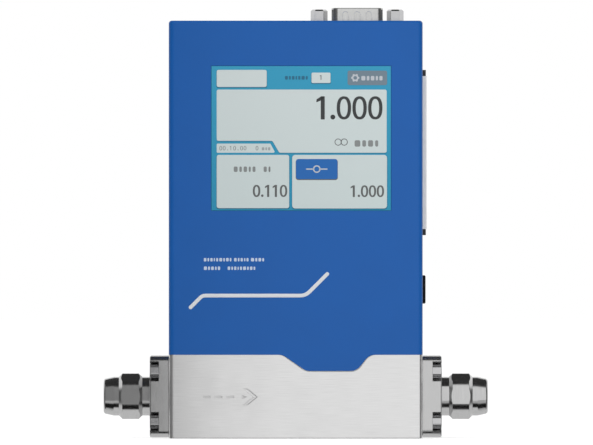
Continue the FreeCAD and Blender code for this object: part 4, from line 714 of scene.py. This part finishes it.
rings = [hoopShape(across, signs["rings"], signs["proud"]) for across in signs["rings"]["across"]]
makePiece("screen_rings", rings, screenFinish("greySigns", greyInk))
wordRows = [
    ("screen_grey_words", "greyWords", screenFinish("wordInk", wordInk)),
    ("screen_faint_words", "faintWords", screenFinish("faintWords", faintInk)),
    ("screen_label", "tealWords", screenFinish("tealInk", tealInk)),
]
for name, row, finish in wordRows:
    makePiece(name, screenWords(signs[row], signs["proud"]), finish)
keySigns = sliderShapes(signs["slider"], signs["keyProud"])
keySigns += screenWords(signs["paleWords"], signs["keyProud"])
keySigns.append(gearShape(signs["gear"], signs["keyProud"]))
makePiece("screen_key_signs", keySigns, screenFinish("paleInk", paleInk))
print("signs set")


# silver line and rows of small white blocks on the cover, in mm

coverMarks = {
    "lineWidth": 1.22,
    "lineProud": 0.06,
    "lineSteps": 9,  # points across the line, and along each of its round ends
    "linePoints": [(-34.88, 42.61), (-30.59, 46.9), (3.26, 46.9), (10.78, 54.42)],
    "lineRadii": [2.4, 4.3],
    "wordHeight": 1.12,
    "wordProud": 0.03,
    # rows of blocks: left, right and base
    "words": [(-30.1, -20.7, 58.1), (-20.2, -15.1, 58.1), (-14.65, -10.0, 58.1),
              (-30.1, -24.4, 55.3), (-22.3, -12.9, 55.3)],
}


def roundedPath(corners, radii, arcSteps=14, runSteps=10):
    # an open line with its inner corners rounded: runs in even steps, arcs tangent to both runs
    corners = np.array(corners, float)
    pieces, start = [], corners[0]
    for i, radius in enumerate(radii, 1):
        before, corner, after = corners[i - 1], corners[i], corners[i + 1]
        incoming = (corner - before) / np.linalg.norm(corner - before)
        outgoing = (after - corner) / np.linalg.norm(after - corner)
        turn = math.acos(np.clip(incoming @ outgoing, -1, 1))
        lap = radius * math.tan(turn / 2)
        arcStart = corner - incoming * lap
        side = np.sign(incoming[0] * outgoing[1] - incoming[1] * outgoing[0])
        normal = side * np.array([-incoming[1], incoming[0]])
        angles = turn * np.linspace(0, 1, arcSteps)[:, None]
        arc = arcStart + radius * (np.sin(angles) * incoming + (1 - np.cos(angles)) * normal)
        run = np.linspace(0, 1, runSteps, endpoint=False)[:, None]
        pieces.append(start + run * (arcStart - start))
        pieces.append(arc[:-1])
        start = arc[-1]
    pieces.append(start + np.linspace(0, 1, runSteps)[:, None] * (corners[-1] - start))
    return np.concatenate(pieces)


def lineShape(values):
    # P(s, t) = path(s) + w(s) t n(s), proud by h (1 - t^4), with w(s) a half circle at both ends
    path = roundedPath(values["linePoints"], values["lineRadii"])
    half = values["lineWidth"] / 2
    gaps = np.linalg.norm(np.diff(path, axis=0), axis=1)
    along = np.concatenate([[0], np.cumsum(gaps)])
    steps = values["lineSteps"]
    cap = half * (1 - np.cos(np.linspace(0.02, math.pi / 2, steps)))
    between = along[(along > half) & (along < along[-1] - half)]
    stations = np.unique(np.concatenate([cap, between, along[-1] - cap]))
    middle = np.column_stack([np.interp(stations, along, path[:, i]) for i in range(2)])
    ahead = np.gradient(middle, stations, axis=0)
    ahead /= np.linalg.norm(ahead, axis=1)[:, None]
    normal = np.column_stack([-ahead[:, 1], ahead[:, 0]])
    toEnd = np.minimum(stations, along[-1] - stations)
    width = np.sqrt(np.clip(half ** 2 - np.clip(half - toEnd, 0, half) ** 2, 1e-6, None))
    t = np.linspace(-1, 1, steps)
    lift = values["lineProud"] * (1 - t ** 4)
    front = middle[:, None, :] + (width[:, None] * t)[..., None] * normal[:, None, :]
    depth = np.broadcast_to(coverFront / mm - lift, front.shape[:2])
    top = np.stack([front[..., 0], depth, front[..., 1]], axis=-1)
    backDepth = np.full(front.shape[:2], (coverFront + sunk) / mm)
    base = np.stack([front[..., 0], backDepth, front[..., 1]], axis=-1)[:, ::-1]
    rings = np.concatenate([top, base], axis=1) * mm
    rows, columns = rings.shape[:2]
    numbers = np.arange(rows * columns).reshape(rows, columns)
    faces = [ringFaces(numbers[i], numbers[i + 1]) for i in range(rows - 1)]
    faces += [numbers[:1, ::-1], numbers[-1:]]
    return facedOut(rings.reshape(-1, 3), faces)


def makeCoverMarks(values):
    silver = coatedSurface("silverLine", silverLine)
    makePiece("cover_line", [lineShape(values)], silver, True)
    high, proud = values["wordHeight"] * mm, values["wordProud"] * mm
    blocks = []
    for left, right, base in values["words"]:
        blocks += wordShapes(left * mm, right * mm, base * mm, high, proud)
    makePiece("cover_words", blocks, coatedSurface("whiteInk", whiteInk))


makeCoverMarks(coverMarks)
print("cover marks laid on")


# sloping walls of the engraved flow arrow: dashes, a chevron and a pointer, in mm

arrow = {
    "level": 13.7, "floor": 0.2, "inset": 0.005,
    "dash": {"left": -30.5, "length": 2.5, "pitch": 3.9, "count": 3, "half": 0.35,
             "slopeDepth": 0.06, "slopeWide": 0.30},
    "chevron": {"left": -17.3, "tip": -12.4, "half": 2.7, "line": 1.6,
                "slopeDepth": 0.09, "slopeWide": 0.30},
    "pointer": {"left": -17.6, "length": 1.7, "half": 0.6,
                "slopeDepth": 0.09, "slopeWide": 0.25},
}


def movedIn(corners, distance):
    # each corner goes along both its sides' inward normals: C + d (n1 + n2) / (1 + n1 . n2)
    corners = np.array(corners, float)
    following = np.roll(corners, -1, axis=0)
    sides = following - corners
    area = 0.5 * np.sum(corners[:, 0] * following[:, 1] - following[:, 0] * corners[:, 1])
    normals = np.sign(area) * np.column_stack([-sides[:, 1], sides[:, 0]])
    normals /= np.linalg.norm(normals, axis=1)[:, None]
    before = np.roll(normals, 1, axis=0)
    return corners + distance * (before + normals) / (1 + np.sum(before * normals, axis=1))[:, None]


def slopedWall(corners, values, mark):
    # four closed rings: top of the slope, its foot, and both places again on the engraving's floor
    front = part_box("flow_body")[0].y
    outer = movedIn(corners, values["inset"]) * mm
    inner = movedIn(corners, mark["slopeWide"]) * mm
    depths = [values["inset"], mark["slopeDepth"], values["floor"], values["floor"]]
    places = zip([outer, inner, inner, outer], depths)
    rings = [standing(ring, front + depth * mm) for ring, depth in places]
    numbers = np.arange(4 * len(outer)).reshape(4, len(outer))
    faces = [ringFaces(numbers[j], numbers[(j + 1) % 4]) for j in range(4)]
    return facedOut(np.concatenate(rings), faces)


def makeArrow(values):
    level = values["level"]
    dash, chevron, pointer = values["dash"], values["chevron"], values["pointer"]
    walls = []
    for i in range(dash["count"]):
        left = dash["left"] + i * dash["pitch"]
        right, low, high = left + dash["length"], level - dash["half"], level + dash["half"]
        corners = [(left, low), (right, low), (right, high), (left, high)]
        walls.append(slopedWall(corners, values, dash))
    left, tip, line, half = chevron["left"], chevron["tip"], chevron["line"], chevron["half"]
    corners = [(left, level + half), (left + line, level + half), (tip, level),
               (left + line, level - half), (left, level - half), (tip - line, level)]
    walls.append(slopedWall(corners, values, chevron))
    left, half = pointer["left"], pointer["half"]
    corners = [(left, level + half), (left + pointer["length"], level), (left, level - half)]
    walls.append(slopedWall(corners, values, pointer))
    makePiece("arrow_walls", walls, finishes["block_steel"])


makeArrow(arrow)
print("flow arrow cut")


# floor, light and camera

studio = {
    "floorSize": 12.0, "floorColour": 0.80, "floorGlow": 0.62,
    "ambient": 0.46, "ambientFront": 0.71, "ambientPower": 4,
    "frontLeft": -0.041, "frontRight": 0.17, "frontLow": -0.05, "frontHigh": 0.25,
    "frontGap": 0.11, "frontLevel": 0.61,
    "topPower": 2.2, "topSize": 0.6, "topPlace": (-0.25, -0.35, 0.85),
    "photoScale": 0.328, "photoWide": 593, "photoMiddleX": 0.262, "photoMiddleZ": 70.85,
    "cameraDistance": 5.0, "middleDepth": 6.0, "sensor": 36.0,
    # what metal and glass reflect, from straight below (0) to straight above (1): place, grey level
    "frontRoom": [(0.0, 0.75), (0.025, 0.75), (0.035, 0.01), (0.155, 0.01), (0.165, 0.45),
                  (0.25, 0.62), (0.29, 0.28), (0.92, 0.28), (0.93, 0.03), (1.0, 0.03)],
    "backRoom": [(0.0, 0.72), (0.30, 0.72), (0.45, 0.90), (0.80, 0.90), (0.82, 0.04), (1.0, 0.04)],
    "sideRoom": [(0.60, 0.16), (0.95, 0.10)],  # the same by the distance to the left or right
    "sideEdge": (0.56, 0.62), "backEdge": (0.10, 0.20),
}


def makeFloor(values):
    # a plain sheet, white to the camera where no shadow lies, and left out of reflections
    half = values["floorSize"] / 2
    corners = np.array([(-half, -half, 0), (half, -half, 0), (half, half, 0), (-half, half, 0)])
    mesh = bpy.data.meshes.new("floor")
    mesh.from_pydata(corners.tolist(), [], [(0, 1, 2, 3)])
    material, tree, shader = newFinish("floorPaper")
    paper = values["floorColour"]
    shader.inputs["Base Color"].default_value = (paper, paper, paper, 1)
    shader.inputs["Roughness"].default_value = 1
    shader.inputs["Specular IOR Level"].default_value = 0
    shader.inputs["Emission Color"].default_value = (1, 1, 1, 1)
    rays = addNode(tree, "ShaderNodeLightPath")
    glow = addNode(tree, "ShaderNodeMath", operation="MULTIPLY")
    glow.inputs[1].default_value = values["floorGlow"]
    tree.links.new(rays.outputs["Is Camera Ray"], glow.inputs[0])
    tree.links.new(glow.outputs["Value"], shader.inputs["Emission Strength"])
    mesh.materials.append(material)
    floor = bpy.data.objects.new("floor", mesh)
    bpy.context.scene.collection.objects.link(floor)
    floor.visible_glossy = False


def greyRamp(tree, source, stops):
    # a grey level by place: stops are (place, level)
    return colours(tree, source, [(place, level, level, level) for place, level in stops])


def mixed(tree, factor, first, second):
    # first where factor is 0, second where it is 1
    mix = addNode(tree, "ShaderNodeMix", data_type="RGBA")
    tree.links.new(factor, mix.inputs["Factor"])
    tree.links.new(first, mix.inputs["A"])
    tree.links.new(second, mix.inputs["B"])
    return mix.outputs["Result"]


def makeWorld(values):
    # white to the camera, a studio with dark flags to metal and glass, and otherwise a soft light,
    # strongest from the front: ambient + ambientFront * c^ambientPower, with c the cosine to -Y
    world = bpy.data.worlds.new("studio")
    bpy.context.scene.world = world
    world.use_nodes = True
    tree = world.node_tree
    background = tree.nodes["Background"]
    direction = addNode(tree, "ShaderNodeTexCoord")
    axes = addNode(tree, "ShaderNodeSeparateXYZ")
    tree.links.new(direction.outputs["Generated"], axes.inputs["Vector"])
    level = spread(tree, axes.outputs["Z"], 0, 1, -1, 1)
    front = greyRamp(tree, level, values["frontRoom"])
    back = greyRamp(tree, level, values["backRoom"])
    across = addNode(tree, "ShaderNodeMath", operation="ABSOLUTE")
    tree.links.new(axes.outputs["X"], across.inputs[0])
    sides = greyRamp(tree, across.outputs["Value"], values["sideRoom"])
    toSides = spread(tree, across.outputs["Value"], 0, 1, *values["sideEdge"])
    toBack = spread(tree, axes.outputs["Y"], 0, 1, *values["backEdge"])
    room = mixed(tree, toBack, mixed(tree, toSides, front, sides), back)
    cosine = spread(tree, axes.outputs["Y"], 1, 0, -1, 0)
    fall = addNode(tree, "ShaderNodeMath", operation="POWER")
    fall.inputs[1].default_value = values["ambientPower"]
    tree.links.new(cosine, fall.inputs[0])
    brightest = values["ambient"] + values["ambientFront"]
    soft = spread(tree, fall.outputs["Value"], values["ambient"], brightest, 0, 1)
    rays = addNode(tree, "ShaderNodeLightPath")
    shiny = addNode(tree, "ShaderNodeMath", operation="MAXIMUM")
    tree.links.new(rays.outputs["Is Glossy Ray"], shiny.inputs[0])
    tree.links.new(rays.outputs["Is Transmission Ray"], shiny.inputs[1])
    lit = mixed(tree, shiny.outputs["Value"], soft, room)
    final = addNode(tree, "ShaderNodeMix", data_type="RGBA")
    final.inputs["B"].default_value = (1, 1, 1, 1)
    tree.links.new(rays.outputs["Is Camera Ray"], final.inputs["Factor"])
    tree.links.new(lit, final.inputs["A"])
    tree.links.new(final.outputs["Result"], background.inputs["Color"])
    background.inputs["Strength"].default_value = 1


def makeLamp(name, wide, high, place, aim, power):
    data = bpy.data.lights.new(name, "AREA")
    data.shape = "RECTANGLE"
    data.size, data.size_y = wide, high
    data.energy = power
    lamp = bpy.data.objects.new(name, data)
    bpy.context.scene.collection.objects.link(lamp)
    lamp.location = place
    lamp.rotation_euler = aim
    lamp.visible_camera = False
    return lamp


def makeLights(values):
    wide = values["frontRight"] - values["frontLeft"]
    high = values["frontHigh"] - values["frontLow"]
    place = ((values["frontLeft"] + values["frontRight"]) / 2, coverFront - values["frontGap"],
             (values["frontLow"] + values["frontHigh"]) / 2)
    power = values["frontLevel"] * math.pi * wide * high  # a sheet's level is power / (pi * area)
    makeLamp("frontSheet", wide, high, place, (math.pi / 2, 0, 0), power)
    x, y, z = values["topPlace"]
    side = values["topSize"]
    aim = (math.atan2(math.hypot(x, y), z), 0, math.atan2(-x, y) + math.pi)
    top = makeLamp("topSheet", side, side, (x, y, z), aim, values["topPower"])
    top.visible_glossy = False


def makeCamera(values):
    # level, straight at the front, from far away: focal length = sensor * distance / width seen,
    # where the photo's scale holds a little behind the cover's front
    data = bpy.data.cameras.new("camera")
    seen = values["photoScale"] * values["photoWide"] * mm
    data.sensor_width = values["sensor"]
    data.lens = values["sensor"] * (values["cameraDistance"] + values["middleDepth"] * mm) / seen
    camera = bpy.data.objects.new("camera", data)
    bpy.context.scene.collection.objects.link(camera)
    camera.location = (values["photoMiddleX"] * mm, coverFront - values["cameraDistance"],
                       values["photoMiddleZ"] * mm)
    camera.rotation_euler = (math.pi / 2, 0, 0)
    bpy.context.scene.camera = camera


makeFloor(studio)
makeWorld(studio)
makeLights(studio)
makeCamera(studio)
bpy.context.scene.view_settings.view_transform = "Standard"
print("studio set")
